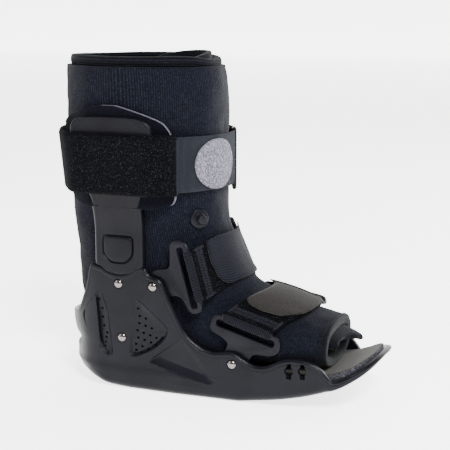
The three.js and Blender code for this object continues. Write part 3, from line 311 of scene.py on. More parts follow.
def moulded_nylon(name, dark, light, rough):
    """Nylon from a spark-eroded mould: an even fine grain that dulls the gloss."""
    material, shader = new_material(name, Roughness=rough, Specular_IOR_Level=0.09)
    where = add_node(material, "TexCoord").outputs["Object"]
    # Mould grain of 0.5 mm, drawn at 1.1 mm so that it shows
    grain = add_node(material, "TexNoise", {"Scale": 900, "Detail": 2, "Roughness": 0.7}, {"Vector": where})
    # Flow of the melt, seen as a slow change over 40 mm
    flow = add_node(material, "TexNoise", {"Scale": 25, "Detail": 3}, {"Vector": where})
    tone = add_node(
        material, "Math", {"operation": "MULTIPLY_ADD", 1: 0.35, 2: 0.3},
        {0: grain.outputs["Fac"]},
    )
    tone = add_node(material, "Math", {"operation": "ADD"}, {0: tone.outputs[0], 1: flow.outputs["Fac"]})
    tone = add_node(material, "Math", {"operation": "SUBTRACT", 1: 0.45}, {0: tone.outputs[0]})
    colour = ramp_between(material, tone.outputs[0], [(0.3, dark), (0.75, light)])
    bump = add_node(
        material, "Bump", {"Strength": 0.6, "Distance": 0.0003}, {"Height": grain.outputs["Fac"]}
    )
    material.node_tree.links.new(colour, shader.inputs["Base Color"])
    material.node_tree.links.new(bump.outputs["Normal"], shader.inputs["Normal"])
    return material


def cloth(name, stops, grain, sheen, strength, rib=0, rib_turn=0, rib_depth=0.5, rough=0.95):
    """Textile on its own thread directions. grain is the size of its fibre clumps in metres;
    rib is the pitch of its wales or cords in metres."""
    material, shader = new_material(name, Roughness=rough, Sheen_Weight=sheen, Sheen_Roughness=0.4)
    shader.inputs["Specular IOR Level"].default_value = 0.05
    where = add_node(material, "TexCoord")
    clumps = add_node(
        material, "TexNoise", {"Scale": 1 / grain, "Detail": 3, "Roughness": 0.7},
        {"Vector": where.outputs["Object"]},
    )
    height = clumps.outputs["Fac"]
    if rib:
        turned = add_node(
            material, "Mapping", {"Rotation": (0, 0, rib_turn)}, {"Vector": where.outputs["UV"]}
        )
        # One wave is 20 scale units long
        cords = add_node(
            material, "TexWave",
            {"Scale": math.pi / 10 / rib, "Distortion": 1.2, "Detail": 1, "Detail Scale": 2.0},
            {"Vector": turned.outputs["Vector"]},
        )
        height = add_node(
            material, "Mix", {"data_type": "FLOAT", 0: rib_depth},
            {2: clumps.outputs["Fac"], 3: cords.outputs["Fac"]},
        ).outputs[0]
    colour = ramp_between(material, height, stops)
    bump = add_node(material, "Bump", {"Strength": strength, "Distance": 0.0006}, {"Height": height})
    material.node_tree.links.new(colour, shader.inputs["Base Color"])
    material.node_tree.links.new(bump.outputs["Normal"], shader.inputs["Normal"])
    return material


shell_nylon = moulded_nylon("moulded nylon", "#060609", "#0f0f15", 0.34)
bracket_nylon = moulded_nylon("moulded nylon, satin", "#07070b", "#111117", 0.3)
# Plated steel on the rivet heads, its colour darkened far below bare nickel: painted dark reflections of the
# surroundings.
polished_steel, _ = new_material(
    "nickel-plated steel", Base_Color=hex_colour("#6e6866"), Metallic=1.0, Roughness=0.15
)
liner_knit = cloth(
    "brushed loop knit", [(0.35, "#030408"), (0.55, "#0a0c13"), (0.75, "#1e222d")],
    0.0013, 0.06, 0.9, rib=0.0019, rib_depth=0.2,
)
binding_knit = cloth(
    "stretch rib knit", [(0.35, "#020305"), (0.6, "#080a0e"), (0.8, "#1b1d24")],
    0.0012, 0.06, 0.8, rib=0.0016, rib_depth=0.35,
)
loop_pile = cloth(
    "unbroken loop pile", [(0.44, "#000001"), (0.58, "#030304"), (0.72, "#30343d")],
    0.0009, 0.0, 1.0,
)
webbing = cloth(
    "polyester webbing", [(0.25, "#060709"), (0.5, "#101318"), (0.8, "#24282f")],
    0.0008, 0.05, 1.0, rib=0.0011, rib_depth=0.6, rib_turn=math.pi / 2,
)
tab_weave = cloth(
    "twill back of a hook tab", [(0.25, "#06070a"), (0.55, "#0f1016"), (0.85, "#1f2128")],
    0.0009, 0.1, 0.8, rib=0.0014, rib_depth=0.55, rib_turn=math.radians(35),
)
warm_weave = cloth(
    "woven back of a hook tab", [(0.25, "#100f0f"), (0.55, "#201f1d"), (0.85, "#363330")],
    0.0009, 0.1, 0.8, rib=0.0013, rib_depth=0.45, rib_turn=math.radians(35),
)
grey_felt = cloth(
    "needled felt", [(0.3, "#2c2b33"), (0.5, "#54525c"), (0.7, "#85838e")], 0.0016, 0.1, 1.0
)
foam_edge = cloth(
    "cut foam", [(0.3, "#33323a"), (0.55, "#55535e"), (0.8, "#767480")], 0.0012, 0.05, 0.7
)
insole_cover = cloth(
    "insole cover", [(0.3, "#211f1c"), (0.55, "#2d2b27"), (0.8, "#3b3934")], 0.0016, 0.1, 0.4
)
insole_foam = cloth(
    "speckled insole foam", [(0.35, "#201f23"), (0.55, "#3b3a40"), (0.75, "#6d6b72")],
    0.0016, 0.0, 0.9,
)
black_webbing = cloth(
    "black polyester webbing", [(0.25, "#030304"), (0.55, "#0b0c10"), (0.8, "#1b1d24")],
    0.0008, 0.05, 0.9, rib=0.0016, rib_depth=0.6, rib_turn=math.pi / 2,
)
thread = cloth("sewing thread", [(0.3, "#090a0d"), (0.7, "#1c1e25")], 0.0008, 0.05, 0.6)


# Rocker shell

# Half of the shell's plan, from the middle of the heel to the middle of the toe: x, half width
SHELL_PLAN = [
    (-112.4, 0), (-110.9, 13), (-108.1, 24.8), (-102.3, 36.6), (-94, 46), (-82, 54.3), (-69, 58.4),
    (-50, 59), (-20, 59), (10, 59), (41.3, 57.6), (79.5, 56.1), (120.8, 54.9), (146.3, 53.7),
    (164.5, 51.3), (177.5, 46.6), (187.5, 38.4), (194.3, 26), (197.8, 12), (198.8, 0),
]
# Underside: x, height
SOLE_LINE = [
    (-113, 5), (-93, 4.4), (-76, 3.1), (-51, 1), (-28, 0), (70, 0), (89, 2.3), (111, 5.7),
    (132, 10.4), (149.5, 15.6), (167, 22), (179, 28.4), (187.5, 34), (193.5, 39), (197.5, 43.6), (199, 46),
]
# Top of the floor inside: x, height
FLOOR_LINE = [
    (-103, 24.8), (-96, 22.1), (-78, 20.2), (-44, 17.6), (-20, 17), (70, 17), (93, 19.1),
    (115.4, 20.6), (136, 21.6), (154, 23.9), (169.7, 29.2), (182.2, 36), (189.5, 40.6), (195, 44),
    (199, 46.5),
]
# Top edge of the heel band, the panels and the toe lip: x, height
PANEL_EDGE = [
    (-113, 63), (-105, 66), (-94.5, 69), (-89, 73.8), (-85.5, 80), (-81.7, 88), (-75.6, 103.5),
    (-73.4, 114), (-71, 117.6), (-66, 117.2), (-61, 116), (-55, 112.6), (-48, 110.4), (-41.5, 109.7),
    (-35, 110.8), (-30, 113.2), (-25.5, 117), (-21, 118.6), (-15.5, 117.9), (-12.5, 113.2), (-8, 110.8),
    (-2, 109.4), (3.2, 102.9), (8, 92), (13, 82.1), (18, 72), (23.9, 61.9), (29.5, 55.6), (35.9, 50.9),
    (43, 47.2), (51.8, 45.4), (60, 46.2), (67.1, 47), (73, 45.6), (78.9, 42.5), (86, 38.7), (92.9, 36.9),
    (98.5, 37), (104.9, 39), (112, 42.6), (118.9, 45.5), (127, 46.9), (134, 46.6), (141, 45.3),
    (147, 43.2), (152.4, 39.6), (157.6, 34), (161.5, 29.8), (166, 30), (174, 33.6), (182.2, 38),
    (189.5, 42.6), (194.5, 46), (198, 48.4), (204, 50),
]
# How far the back of the heel stands forward of its plan: height, distance
HEEL_INSET = [(0, 20), (4, 14), (9, 9.6), (15, 6.4), (21, 4.6), (28, 4), (42, 4), (50, 1.6), (61, 0), (70, 0)]
WALL = 4.0
RIM_WIDTH, RIM_PROUD = 3.6, 1.3


def column(table, index):
    return np.array([row[index] for row in table])


def along(table, x):
    return follow(column(table, 0), column(table, 1), x)


def half_width(x):
    return np.interp(x, column(SHELL_PLAN, 0), column(SHELL_PLAN, 1))


def shell_skin():
    """Closed skin of the shell: under the sole, up the outer wall, over the edge and down inside."""
    near = [(x, -y) for x, y in SHELL_PLAN]
    far = [(x, y) for x, y in SHELL_PLAN[-2:0:-1]]
    plan = smooth_line(near + far, 1.25, closed=True)
    way = np.roll(plan, -1, axis=0) - np.roll(plan, 1, axis=0)
    way /= np.linalg.norm(way, axis=1)[:, None]
    out = np.stack((way[:, 1], -way[:, 0]), -1)
    x = plan[:, 0]
    top, low, floor = along(PANEL_EDGE, x), along(SOLE_LINE, x), along(FLOOR_LINE, x)
    slope = np.gradient(top) / np.maximum(np.abs(np.gradient(x)), 0.2)
    lean = np.sqrt(1 + np.clip(slope, -3, 3) ** 2)
    fold = np.minimum(7 + 6 * ease(-50, -95, x), 0.42 * (top - low))
    rim = np.where(x > -17, 1.0, 0.25) * ease(-113, -78, x) * (1 - 0.5 * ease(-75, -17, x) * (x < -17))
    heel = ease(-45, -108, x)
    middle_x = np.clip(x, -80, 168)

    def ring(offset, height, inwards=0.0, inset=1.0):
        """One row of the skin: moved out from the plan, at a height, part of the way to the middle."""
        height = np.broadcast_to(height, x.shape)
        px, py = plan[:, 0] + out[:, 0] * offset, plan[:, 1] + out[:, 1] * offset
        px = px + along(HEEL_INSET, height) * heel * inset
        px = px + (middle_x - px) * inwards
        return np.stack((px, py * (1 - inwards), height), -1)

    rows = [
        ring(-fold, along(SOLE_LINE, x + (middle_x - x) * share), share) for share in (1, 0.7, 0.4, 0.15)
    ]
    for turn in np.linspace(0, math.pi / 2, 6):
        rows.append(ring(-fold * (1 - math.sin(turn)), low + fold * (1 - math.cos(turn))))
    wall = top - low - fold
    edge = 0.8
    depths = [0, 0.45, 0.95, 1.5, 2.05, 2.6, 3.1, 3.6, 4.2, 5.2]
    shrink = np.minimum(1, 0.55 * wall / (5.2 * lean))
    crest = depths[-1] * lean * shrink
    for share in np.linspace(0, 1, 40)[1:]:
        height = low + fold + (wall - edge - crest) * share
        sole = 0.7 * (1 - ease(18, 24, height - low * 0.6)) * (1 - ease(10, 80, x))
        rows.append(ring(sole * ease(0, 0.08, share), height))
    for depth in depths[-2::-1]:
        roll = math.sin(math.pi * min(depth / RIM_WIDTH, 1)) ** 0.75 if depth < RIM_WIDTH else -0.12
        rows.append(ring(rim * RIM_PROUD * roll, top - edge - depth * lean * shrink))
    for offset, drop in ((-0.25, 0.3), (-0.9, 0), (-WALL + 0.9, 0), (-WALL + 0.2, 0.35)):
        rows.append(ring(offset, top - drop))
    inner = np.maximum(floor, low + 3)
    for share in np.linspace(0, 1, 13):
        rows.append(ring(-WALL, top - edge + (np.minimum(inner + 1.5, top - edge) - top + edge) * share))
    rows.append(ring(-WALL - 1.5, np.minimum(inner, top - 1)))
    for share in (0.15, 0.5, 1):
        rows.append(ring(-WALL - 1.5, along(FLOOR_LINE, x + (middle_x - x) * share), share))
    shell = skin("shell", rows, wrap=True, ends="open")
    shape = bmesh.new()
    shape.from_mesh(shell.data)
    bmesh.ops.remove_doubles(shape, verts=shape.verts, dist=0.00002)
    bmesh.ops.dissolve_degenerate(shape, edges=shape.edges, dist=0.00001)
    bmesh.ops.recalc_face_normals(shape, faces=shape.faces)
    shape.to_mesh(shell.data)
    shape.free()
    shell.data.shade_smooth()
    return shell


# Sunk fields of a panel: corners of the mouth and of the floor, both x and height, and the depth
SUNK_FIELDS = [
    [
        (-61, 94, -61.5, 91, 1.6), (-72, 84, -70.5, 82, 2.6), (-84, 68, -81.5, 67.5, 4.4),
        (-82, 60, -80, 61.5, 4.6), (-57, 31, -57.5, 34, 2.8), (-49, 32, -51.5, 35, 2.4),
        (-54, 74, -56, 73, 1.5),
    ],
    [
        (-27, 92, -26, 89, 1.2), (-21, 87, -21, 84.5, 1.4), (8, 64, 5.5, 63, 2), (7, 57, 4, 57.5, 3.4),
        (2, 50, -0.5, 51.5, 4), (-6, 43, -7.5, 45.5, 4), (-16, 37, -17, 40, 3.8), (-26, 32.5, -26, 36, 3.4),
        (-33.5, 33, -31, 36, 2.6), (-31, 50, -29, 51, 1.8),
    ],
    [
        (22, 56, 21.3, 53, 1), (54, 18, 45, 22.8, 3), (48, 14.5, 42.5, 21.6, 3.2), (-13, 30, -5, 34.6, 3),
        (-6, 36, -3, 37, 1.4),
    ],
]


def sunk_field(corners, side):
    """Cutter for one sunk field: its floor keeps to the panel's face, inside a wider mouth."""
    table = np.array(corners)
    mouth, floor = rounded(table[:, :2], 3.2, arc=5), rounded(table[:, 2:4], 3.2, arc=5)
    deep = np.repeat(table[:, 4], 5)
    centre = floor.mean(axis=0)
    rings = [(mouth + (mouth - floor) * 0.4, np.full(len(deep), -1.2)), (mouth, np.zeros(len(deep)))]
    for share in (1, 0.7, 0.4, 0.1):
        rings.append((centre + (floor - centre) * share, deep * share + deep.mean() * (1 - share)))
    rows = [
        np.stack((plan[:, 0], side * (half_width(plan[:, 0]) - drop), plan[:, 1]), -1)
        for plan, drop in rings
    ]
    return skin("sunk field", rows)


def round_pin(x, z, radius, outer, inner, sides=32, taper=1.0):
    """Cylinder or cone across the boot, between two distances from the middle plane."""
    bpy.ops.object.select_all(action="DESELECT")
    bpy.ops.mesh.primitive_cone_add(
        vertices=sides, radius1=radius * MM, radius2=radius * taper * MM,
        depth=abs(outer - inner) * MM, location=(x * MM, (outer + inner) / 2 * MM, z * MM),
        rotation=(math.copysign(math.pi / 2, inner - outer) * -1, 0, 0),
    )
    return settle_place(bpy.context.object)


# Rivets: x, height
RIVETS = {
    "upright_top": (-42.9, 101.1),
    "ankle_bracket": (-8, 101.1),
    "upright_foot": (-40.1, 50),
    "forefoot_bracket": (69, 35.7),
}
RIVET_HEAD = 8.8
# Dimples in the two rear fields: x, height of the first of a row, and how many follow it
DIMPLE_ROWS = [
    (-64, 84, 1), (-67, 77.5, 2), (-73, 71, 3), (-78, 64.5, 4), (-75, 58, 4), (-70, 51.5, 3),
    (-64.5, 45, 2), (-59, 39, 1),
    (-23.5, 79, 1), (-22, 72, 2), (-22.5, 65, 3), (-24.5, 58, 4), (-24, 51, 4), (-26.5, 44.5, 3),
    (-26.5, 38.5, 2),
]
DIMPLE_STEP = (6.2, -1.9)
# Outline of one vent, from its middle
VENT = [
    (-2, 7), (2, 7), (2, 3.4), (4.3, 1.8), (4.3, -1.2), (2.3, -3), (2.5, -7.2), (-2.5, -7.2),
    (-2.3, -3), (-4.3, -1.2), (-4.3, 1.8), (-2, 3.4),
]
VENTS = [(123, 35.2), (135.5, 36.2)]


def rocker_shell():
    shell = shell_skin()
    cutters = [sunk_field(field, side) for side in (LATERAL, MEDIAL) for field in SUNK_FIELDS]
    for side in (LATERAL, MEDIAL):
        for x, z in RIVETS.values():
            face = half_width(x)
            cutters.append(
                round_pin(x, z, RIVET_HEAD / 2 + 1.1, side * (face + 2), side * (face - 1.2), taper=0.75)
            )
    heel = rounded([(-47, 33), (47, 33), (47, 46.5), (-47, 46.5)], 6.5)
    window = skin("heel window", [[(x, y, z) for y, z in heel] for x in (-121, -86)])
    vents = [
        skin("vent", [[(x + u, y, z + v) for u, v in rounded(VENT, 1.4)] for y in (-70, 70)])
        for x, z in VENTS
    ]
    cut(shell, joined("pockets", cutters))
    dimples = []
    for x, z, count in DIMPLE_ROWS:
        for i in range(count):
            px, pz = x + i * DIMPLE_STEP[0], z + i * DIMPLE_STEP[1]
            bpy.ops.object.select_all(action="DESELECT")
            bpy.ops.mesh.primitive_uv_sphere_add(
                segments=10, ring_count=6, radius=1.4 * MM,
                location=(px * MM, -(half_width(px) - 2.6) * MM, pz * MM), scale=(1, 1.9, 0.85),
            )
            dimples.append(settle_place(bpy.context.object))
    near = joined("dimples", dimples)
    far = mirrored(near, "dimples")
    cut(shell, window, *vents, near, far)
    smooth_by_angle(shell, 32)
    return shell


def rivet(x, z, side, name):
    """Domed rivet head with a soft rim, sunk in its pocket."""
    bpy.ops.object.select_all(action="DESELECT")
    bpy.ops.mesh.primitive_uv_sphere_add(
        segments=32, ring_count=16, radius=RIVET_HEAD / 2 * MM, rotation=(math.pi / 2, 0, 0)
    )
    head = bpy.context.object
    head.scale = (1, 1, 0.62)
    head.location = (x * MM, side * (half_width(x) - 0.9) * MM, z * MM)
    settle_place(head)
    head.name = head.data.name = name
    head.data.shade_smooth()
    return head


# Uprights

# Half width, middle, outer face and thickness of an upright up its length
UPRIGHT_ROWS = [
    (110.4, 3, -41.5, 60.6, 8.6), (110.6, 6, -41.5, 60.6, 8.6), (111.4, 10, -41.5, 60.6, 8.6),
    (113.4, 14.6, -41.5, 60.6, 8.6), (116.4, 18.5, -41.5, 60.6, 8.6), (117.8, 22.6, -41.5, 60.6, 8.6),
    (118.6, 24.2, -41.5, 60.6, 8.6), (120, 24.4, -41.5, 60.6, 8.6), (150, 24.4, -41.6, 60.6, 8.4),
    (178, 24.8, -42, 64.6, 6.6), (186, 26.5, -42.4, 66, 6), (194, 32, -43.2, 67, 5.4),
    (204, 38, -44, 68, 5), (216, 40.2, -44.4, 68.8, 5), (236, 40.6, -44.5, 69.1, 5),
    (246, 40.2, -44.5, 69.2, 5), (250, 38.8, -44.5, 69.2, 5), (253, 35.6, -44.5, 69.2, 5),
    (255, 29, -44.5, 69.2, 5), (256, 16, -44.5, 69.2, 5),
]
CATCH = [(-14.5, 12), (14.5, 12), (14.5, -5), (7, -12), (-7, -12), (-14.5, -5)]
CATCH_PLACE = (-42, 134)


def upright():
    """Lateral upright: a flat strut with rolled long edges that widens to a paddle."""
    table = np.array(UPRIGHT_ROWS)
    spans = ((110.4, 121, 16), (123, 242, 60), (243.5, 256, 14))
    heights = np.concatenate([np.linspace(*span) for span in spans])
    across = np.sin(np.linspace(-math.pi / 2, math.pi / 2, 33))
    rows = []
    for z in heights:
        half, middle, outer, thick = (follow(table[:, 0], table[:, k], z) for k in (1, 2, 3, 4))
        near_edge = ((np.abs(across) * half - half + 4) / 4).clip(0, 1)
        roll = 2.6 * (1 - np.sqrt(np.clip(1 - near_edge ** 2, 0, 1)))
        groove = 0.28 * np.exp(-(((np.abs(across) * half - half + 6.2) / 0.9) ** 2))
        face = [(middle + t * half, -(outer - r - g), z) for t, r, g in zip(across, roll, groove)]
        back = [(middle + t * (half - 0.3), -(outer - thick), z) for t in across[::-4]]
        rows.append(face + back)
    strut = skin("upright", rows)
    x, z = CATCH_PLACE
    pocket = [
        [(x + u * grow, y, z + v * grow) for u, v in rounded(CATCH, 4.5)]
        for grow, y in ((1.22, -62.5), (1.06, -58.8))
    ]
    cut(strut, skin("catch pocket", pocket))
    soften(strut, 0.35, angle=40)
    return strut


def upright_catch():
    x, z = CATCH_PLACE
    rows = [
        [(x + u * grow, -y, z + v * grow) for u, v in rounded(CATCH, 4.5, arc=8)]
        for grow, y in ((0.97, 58.9), (1, 59.6), (0.985, 60.3), (0.94, 60.7), (0.8, 60.85), (0.4, 60.95))
    ]
    button = skin("upright catch", rows)
    smooth_by_angle(button, 50)
    return button


# Liner

# Sections of the padded liner from the cuff to the toe: the middle and the reach from it to the
# front point, both x and height, and the half width
LINER = [
    (-40, 300, 75.5, 0, 55), (-39, 288, 76.9, 0, 56.7), (-38.1, 261.9, 77.4, 0, 57),
    (-37.9, 236.1, 77.2, 0, 57), (-37.2, 210, 76.7, 0, 56.1), (-36.5, 186, 75.9, 0, 54.4),
    (-35.6, 167.1, 74.8, 3, 52.2), (-33.6, 148.1, 75, 7.9, 49.9), (-31.1, 130.1, 76.4, 13, 48.4),
    (-28, 111.2, 78.3, 15.7, 48.2), (-22.8, 95.1, 81.8, 15.9, 47.6), (-15.2, 83.3, 85.3, 16.7, 46.7),
    (-6.9, 66, 91, 27, 45.9), (7.6, 59, 92.3, 30.1, 45.6), (36.5, 55.4, 77.4, 29.7, 45.6),
    (70.3, 52.8, 55.7, 27.7, 45.6), (105.5, 51.3, 32.5, 26, 45), (134.9, 52, 12.2, 23, 43),
    (152.5, 52.4, 0.6, 20.7, 40.4),
]
LINER_WALL = 9.0
LINER_SQUARE = 2.4
TOE = len(LINER) - 1


def liner_ring(place, angles, inset=0.0):
    """Points round the liner at one place along its sections, inset from its outside."""
    rows = np.array(LINER)
    mx, mz, hx, hz, side = (follow(np.arange(len(rows)), rows[:, k], place) for k in range(5))
    reach = math.hypot(hx, hz)
    keep = (reach - inset) / reach
    power = lambda value: np.sign(value) * np.abs(value) ** (2 / LINER_SQUARE)
    c, s = power(np.cos(angles)), power(np.sin(angles))
    return np.stack((mx + hx * keep * c, -(side - inset) * s, mz + hz * keep * c), -1)


def ripple(points, size, height, seed=0.0):
    """Slow noise over the points, for the give of foam under knit."""
    return np.array([height * noise.noise(Vector(p) / size + Vector((seed, 0, 0))) for p in points])


def push_out(grid, amounts, wrap=True):
    """Moves each point of a grid along the surface's normal."""
    if wrap:
        across = np.roll(grid, -1, axis=1) - np.roll(grid, 1, axis=1)
    else:
        across = np.gradient(grid, axis=1)
    down = np.gradient(grid, axis=0)
    normal = np.cross(across, down)
    normal /= np.linalg.norm(normal, axis=2)[..., None] + 1e-9
    return grid + normal * amounts[..., None]


def padded_liner():
    angles = np.linspace(0, 2 * math.pi, 200, endpoint=False)
    places = np.concatenate((
        np.linspace(0.0, 1, 8), np.linspace(1, 6, 60)[1:], np.linspace(6, 12, 80)[1:],
        np.linspace(12, TOE - 0.45, 70)[1:],
    ))
    outer = np.stack([liner_ring(place, angles) for place in places])
    give = ripple(outer.reshape(-1, 3), 38, 1.8).reshape(outer.shape[:2])
    give += ripple(outer.reshape(-1, 3), 14, 0.7, 7).reshape(outer.shape[:2])
    # Folds over the instep, where the leg part meets the foot part
    fold = np.exp(-(((places - 8.6) / 0.5) ** 2)) - 0.7 * np.exp(-(((places - 9.5) / 0.35) ** 2))
    front = np.clip(np.cos(angles), 0, 1) ** 2
    give += 2.6 * fold[:, None] * front[None, :]
    outer = push_out(outer, give)
    inner_places = np.linspace(TOE - 0.45, 0.0, 60)
    inner = np.stack([liner_ring(place, angles, LINER_WALL) for place in inner_places])
    grid = np.concatenate((outer, inner))
    round_mm = 400 * np.linspace(0, 1, 201)
    mean = grid.mean(axis=1)
    down_mm = np.concatenate(([0], np.cumsum(np.linalg.norm(np.diff(mean, axis=0), axis=1) + 0.5)))
    down_mm = np.concatenate((down_mm, [down_mm[-1] + LINER_WALL]))
    uv = np.stack(np.meshgrid(round_mm, down_mm), -1)
    return skin("liner_padded", grid, ends="joined", uv=uv)


def rolled_band(name, centre, out, up, half_thick, half_tall, closed, square=3.0, around=20):
    """Band with rounded edges along a line of points, with its own out and up ways."""
    turn = np.linspace(0, 2 * math.pi, around, endpoint=False)
    power = lambda value: np.sign(value) * np.abs(value) ** (2 / square)
    c, s = power(np.cos(turn)), power(np.sin(turn))
    half_thick = np.broadcast_to(half_thick, len(centre))
    half_tall = np.broadcast_to(half_tall, len(centre))
    grid = (
        centre[:, None]
        + out[:, None] * (c[None, :] * half_thick[:, None])[..., None]
        + up[:, None] * (s[None, :] * half_tall[:, None])[..., None]
    )
    length = np.concatenate(([0], np.cumsum(np.linalg.norm(np.diff(centre, axis=0), axis=1))))
    if closed:
        length = np.concatenate((length, [length[-1] + np.linalg.norm(centre[0] - centre[-1])]))
    girth = np.linspace(0, 4 * half_tall.mean(), around + 1)
    uv = np.stack(np.meshgrid(girth, length), -1)
    return skin(name, grid, ends="joined" if closed else "capped", uv=uv)


def plan_out(line):
    """Ways out from a closed line that runs round the boot, level."""
    way = np.roll(line, -1, axis=0) - np.roll(line, 1, axis=0)
    out = np.stack((-way[:, 1], way[:, 0], np.zeros(len(line))), -1)
    out /= np.linalg.norm(out, axis=1)[:, None]
    centre = line.mean(axis=0)
    return out * np.sign(((line - centre) * out).sum(axis=1))[:, None]


def top_binding():
    """Rolled knit edge of the cuff; its front end on the outer side dips."""
    angles = np.linspace(0, 2 * math.pi, 220, endpoint=False)
    line = liner_ring(0, angles, 7.4)
    dip = 3.5 * np.exp(-((np.minimum(angles, 2 * math.pi - angles) / 0.5) ** 2))
    line[:, 2] = 304.6 - dip + 0.5 * np.sin(3 * angles)
    up = np.tile((0.0, 0.0, 1.0), (len(line), 1))
    return rolled_band("top_binding_rolled", line, plan_out(line), up, 4.0, 5.0, closed=True)


FRONT_FLAP = [
    (-17.4, 16.9), (-6.7, 20.1), (7.7, 19.9), (18.1, 16.4), (26.4, 9.8), (32.9, 0),
    (37.3, -12.6), (39.6, -28.3), (39.7, -50.2), (37.6, -66.3),
]


def front_flap():
    """Inner flap of the cuff, which shows above the binding at the front."""
    line = smooth_line([(x, y, 0) for y, x in FRONT_FLAP], 2.5)
    share = np.linspace(0, 1, len(line))
    crest = 300 + 13.2 * np.clip(np.sin(math.pi * np.clip(share + 0.1, 0, 1)), 0, 1) ** 0.45
    foot = 258.0
    rows = []
    way = np.gradient(line, axis=0)
    out = np.stack((way[:, 1], -way[:, 0], np.zeros(len(line))), -1)
    out /= np.linalg.norm(out, axis=1)[:, None]
    turn = np.linspace(0, 2 * math.pi, 28, endpoint=False)
    for place, normal, top in zip(line, out, crest):
        middle, tall = (top + foot) / 2, (top - foot) / 2
        c, s = np.cos(turn), np.sin(turn)
        thick = 3.0 * np.sign(c) * np.abs(c) ** 0.3
        height = middle + tall * np.sign(s) * np.abs(s) ** 0.35
        step = 0.5 * (np.abs(height - (top - 9.5)) < 1.2)
        out = normal[None, :] * (thick * (1 - step * 0.25))[:, None]
        rows.append(place[None, :] + out + np.stack((0 * c, 0 * c, height), -1))
    grid = np.array(rows)
    uv = np.stack(np.meshgrid(np.linspace(0, 90, 29), np.linspace(0, 130, len(rows))), -1)
    return skin("front_flap_knit", grid, uv=uv)


def toe_binding():
    angles = np.linspace(0, 2 * math.pi, 200, endpoint=False)
    rows = []
    profile = [
        (TOE - 0.5, 0.2), (TOE - 0.48, -0.7), (TOE - 0.4, -1.1), (TOE - 0.2, -1.2), (TOE - 0.06, -0.9),
        (TOE, 0.2), (TOE + 0.0, 3), (TOE + 0.0, 7), (TOE - 0.05, 8.8), (TOE - 0.2, 9.3), (TOE - 0.5, 9.2),
    ]
    for place, inset in profile:
        ring = liner_ring(place, angles, inset)
        rest = along(FLOOR_LINE, ring[:, 0]) + 8.1
        ring[:, 2] = np.maximum(ring[:, 2], rest)
        rows.append(ring)
    uv = np.stack(np.meshgrid(np.linspace(0, 260, 201), np.linspace(0, 32, len(rows) + 1)), -1)
    return skin("toe_binding_rolled", np.array(rows), ends="joined", uv=uv)


# Straps


def strap_sheet(
    name, rows, thickness, across=18, along_step=2.0, cut_start=None, cut_end=None, first=0.0, last=1.0
):
    """Woven strap through rows of points. cut_start and cut_end say, for places across the
    strap from 0 to 1, how many millimetres its ends stand back."""
    rows = np.asarray(rows, float)
    count = rows.shape[1]
    lines = [smooth_line(rows[:, k], 1.0) for k in range(count)]
    samples = 160
    table = np.stack([
        np.stack([
            np.interp(np.linspace(0, 1, samples), np.linspace(0, 1, len(line)), line[:, axis])
            for axis in range(3)
        ], -1)
        for line in lines
    ], 1)
    length = np.linalg.norm(np.diff(table[:, count // 2], axis=0), axis=1).sum()
    share = np.linspace(0, 1, across + 1)
    fine = np.empty((samples, across + 1, 3))
    for axis in range(3):
        for i in range(samples):
            if count == 3:
                a, m, b = table[i, :, axis]
                fine[i, :, axis] = (
                    a * (1 - share) * (1 - 2 * share)
                    + 4 * m * share * (1 - share)
                    + b * share * (2 * share - 1)
                )
            else:
                fine[i, :, axis] = np.interp(share, np.linspace(0, 1, count), table[i, :, axis])
    start = first + (np.interp(share, *zip(*cut_start)) / length if cut_start else 0 * share)
    end = last - (np.interp(share, *zip(*cut_end)) / length if cut_end else 0 * share)
    steps = max(int(length * (last - first) / along_step), 6)
    surface = np.empty((steps + 1, across + 1, 3))
    at_mm = np.empty((steps + 1, across + 1))
    for j in range(across + 1):
        at = np.linspace(start[j], end[j], steps + 1)
        at_mm[:, j] = at * length
        for axis in range(3):
            surface[:, j, axis] = np.interp(at, np.linspace(0, 1, samples), fine[:, j, axis])
    width = np.linalg.norm(surface[0, 0] - surface[0, -1])
    normal = np.cross(np.gradient(surface, axis=0), np.gradient(surface, axis=1))
    normal /= np.linalg.norm(normal, axis=2)[..., None] + 1e-9
    inset = np.ones((steps + 1, across + 1))
    inset[[0, -1], :] = 0.35
    inset[:, [0, -1]] = 0.35
    face = surface + normal * (inset * thickness / 2)[..., None]
    back = surface - normal * (inset * thickness / 2)[..., None]
    grid = np.concatenate((face, back[:, ::-1]), axis=1)
    u = np.concatenate((share, share[::-1], share[:1])) * width
    uv = np.empty((steps + 1, 2 * across + 3, 2))
    uv[..., 0] = u[None, :]
    uv[..., 1] = np.concatenate((at_mm, at_mm[:, ::-1], at_mm[:, :1]), axis=1)
    return skin(name, grid, uv=uv)


def bar_wrap(name, middle, axis, leave, out, width, half_across=4.1, half_thick=3.4):
    """Webbing wrapped round a bar, seen as a rounded roll."""
    middle, axis, leave, out = (np.array(v, float) for v in (middle, axis, leave, out))
    steps = np.linspace(-width / 2, width / 2, 30)
    centre = middle + axis * steps[:, None] + leave * 0.8
    close = np.minimum(1, np.sqrt(np.clip(1 - (np.abs(steps) / (width / 2)) ** 18, 0.35, 1)))
    return rolled_band(
        name, centre, np.tile(leave, (30, 1)), np.tile(out, (30, 1)), half_across * close, half_thick * close,
        closed=False, square=2.3, around=24,
    )


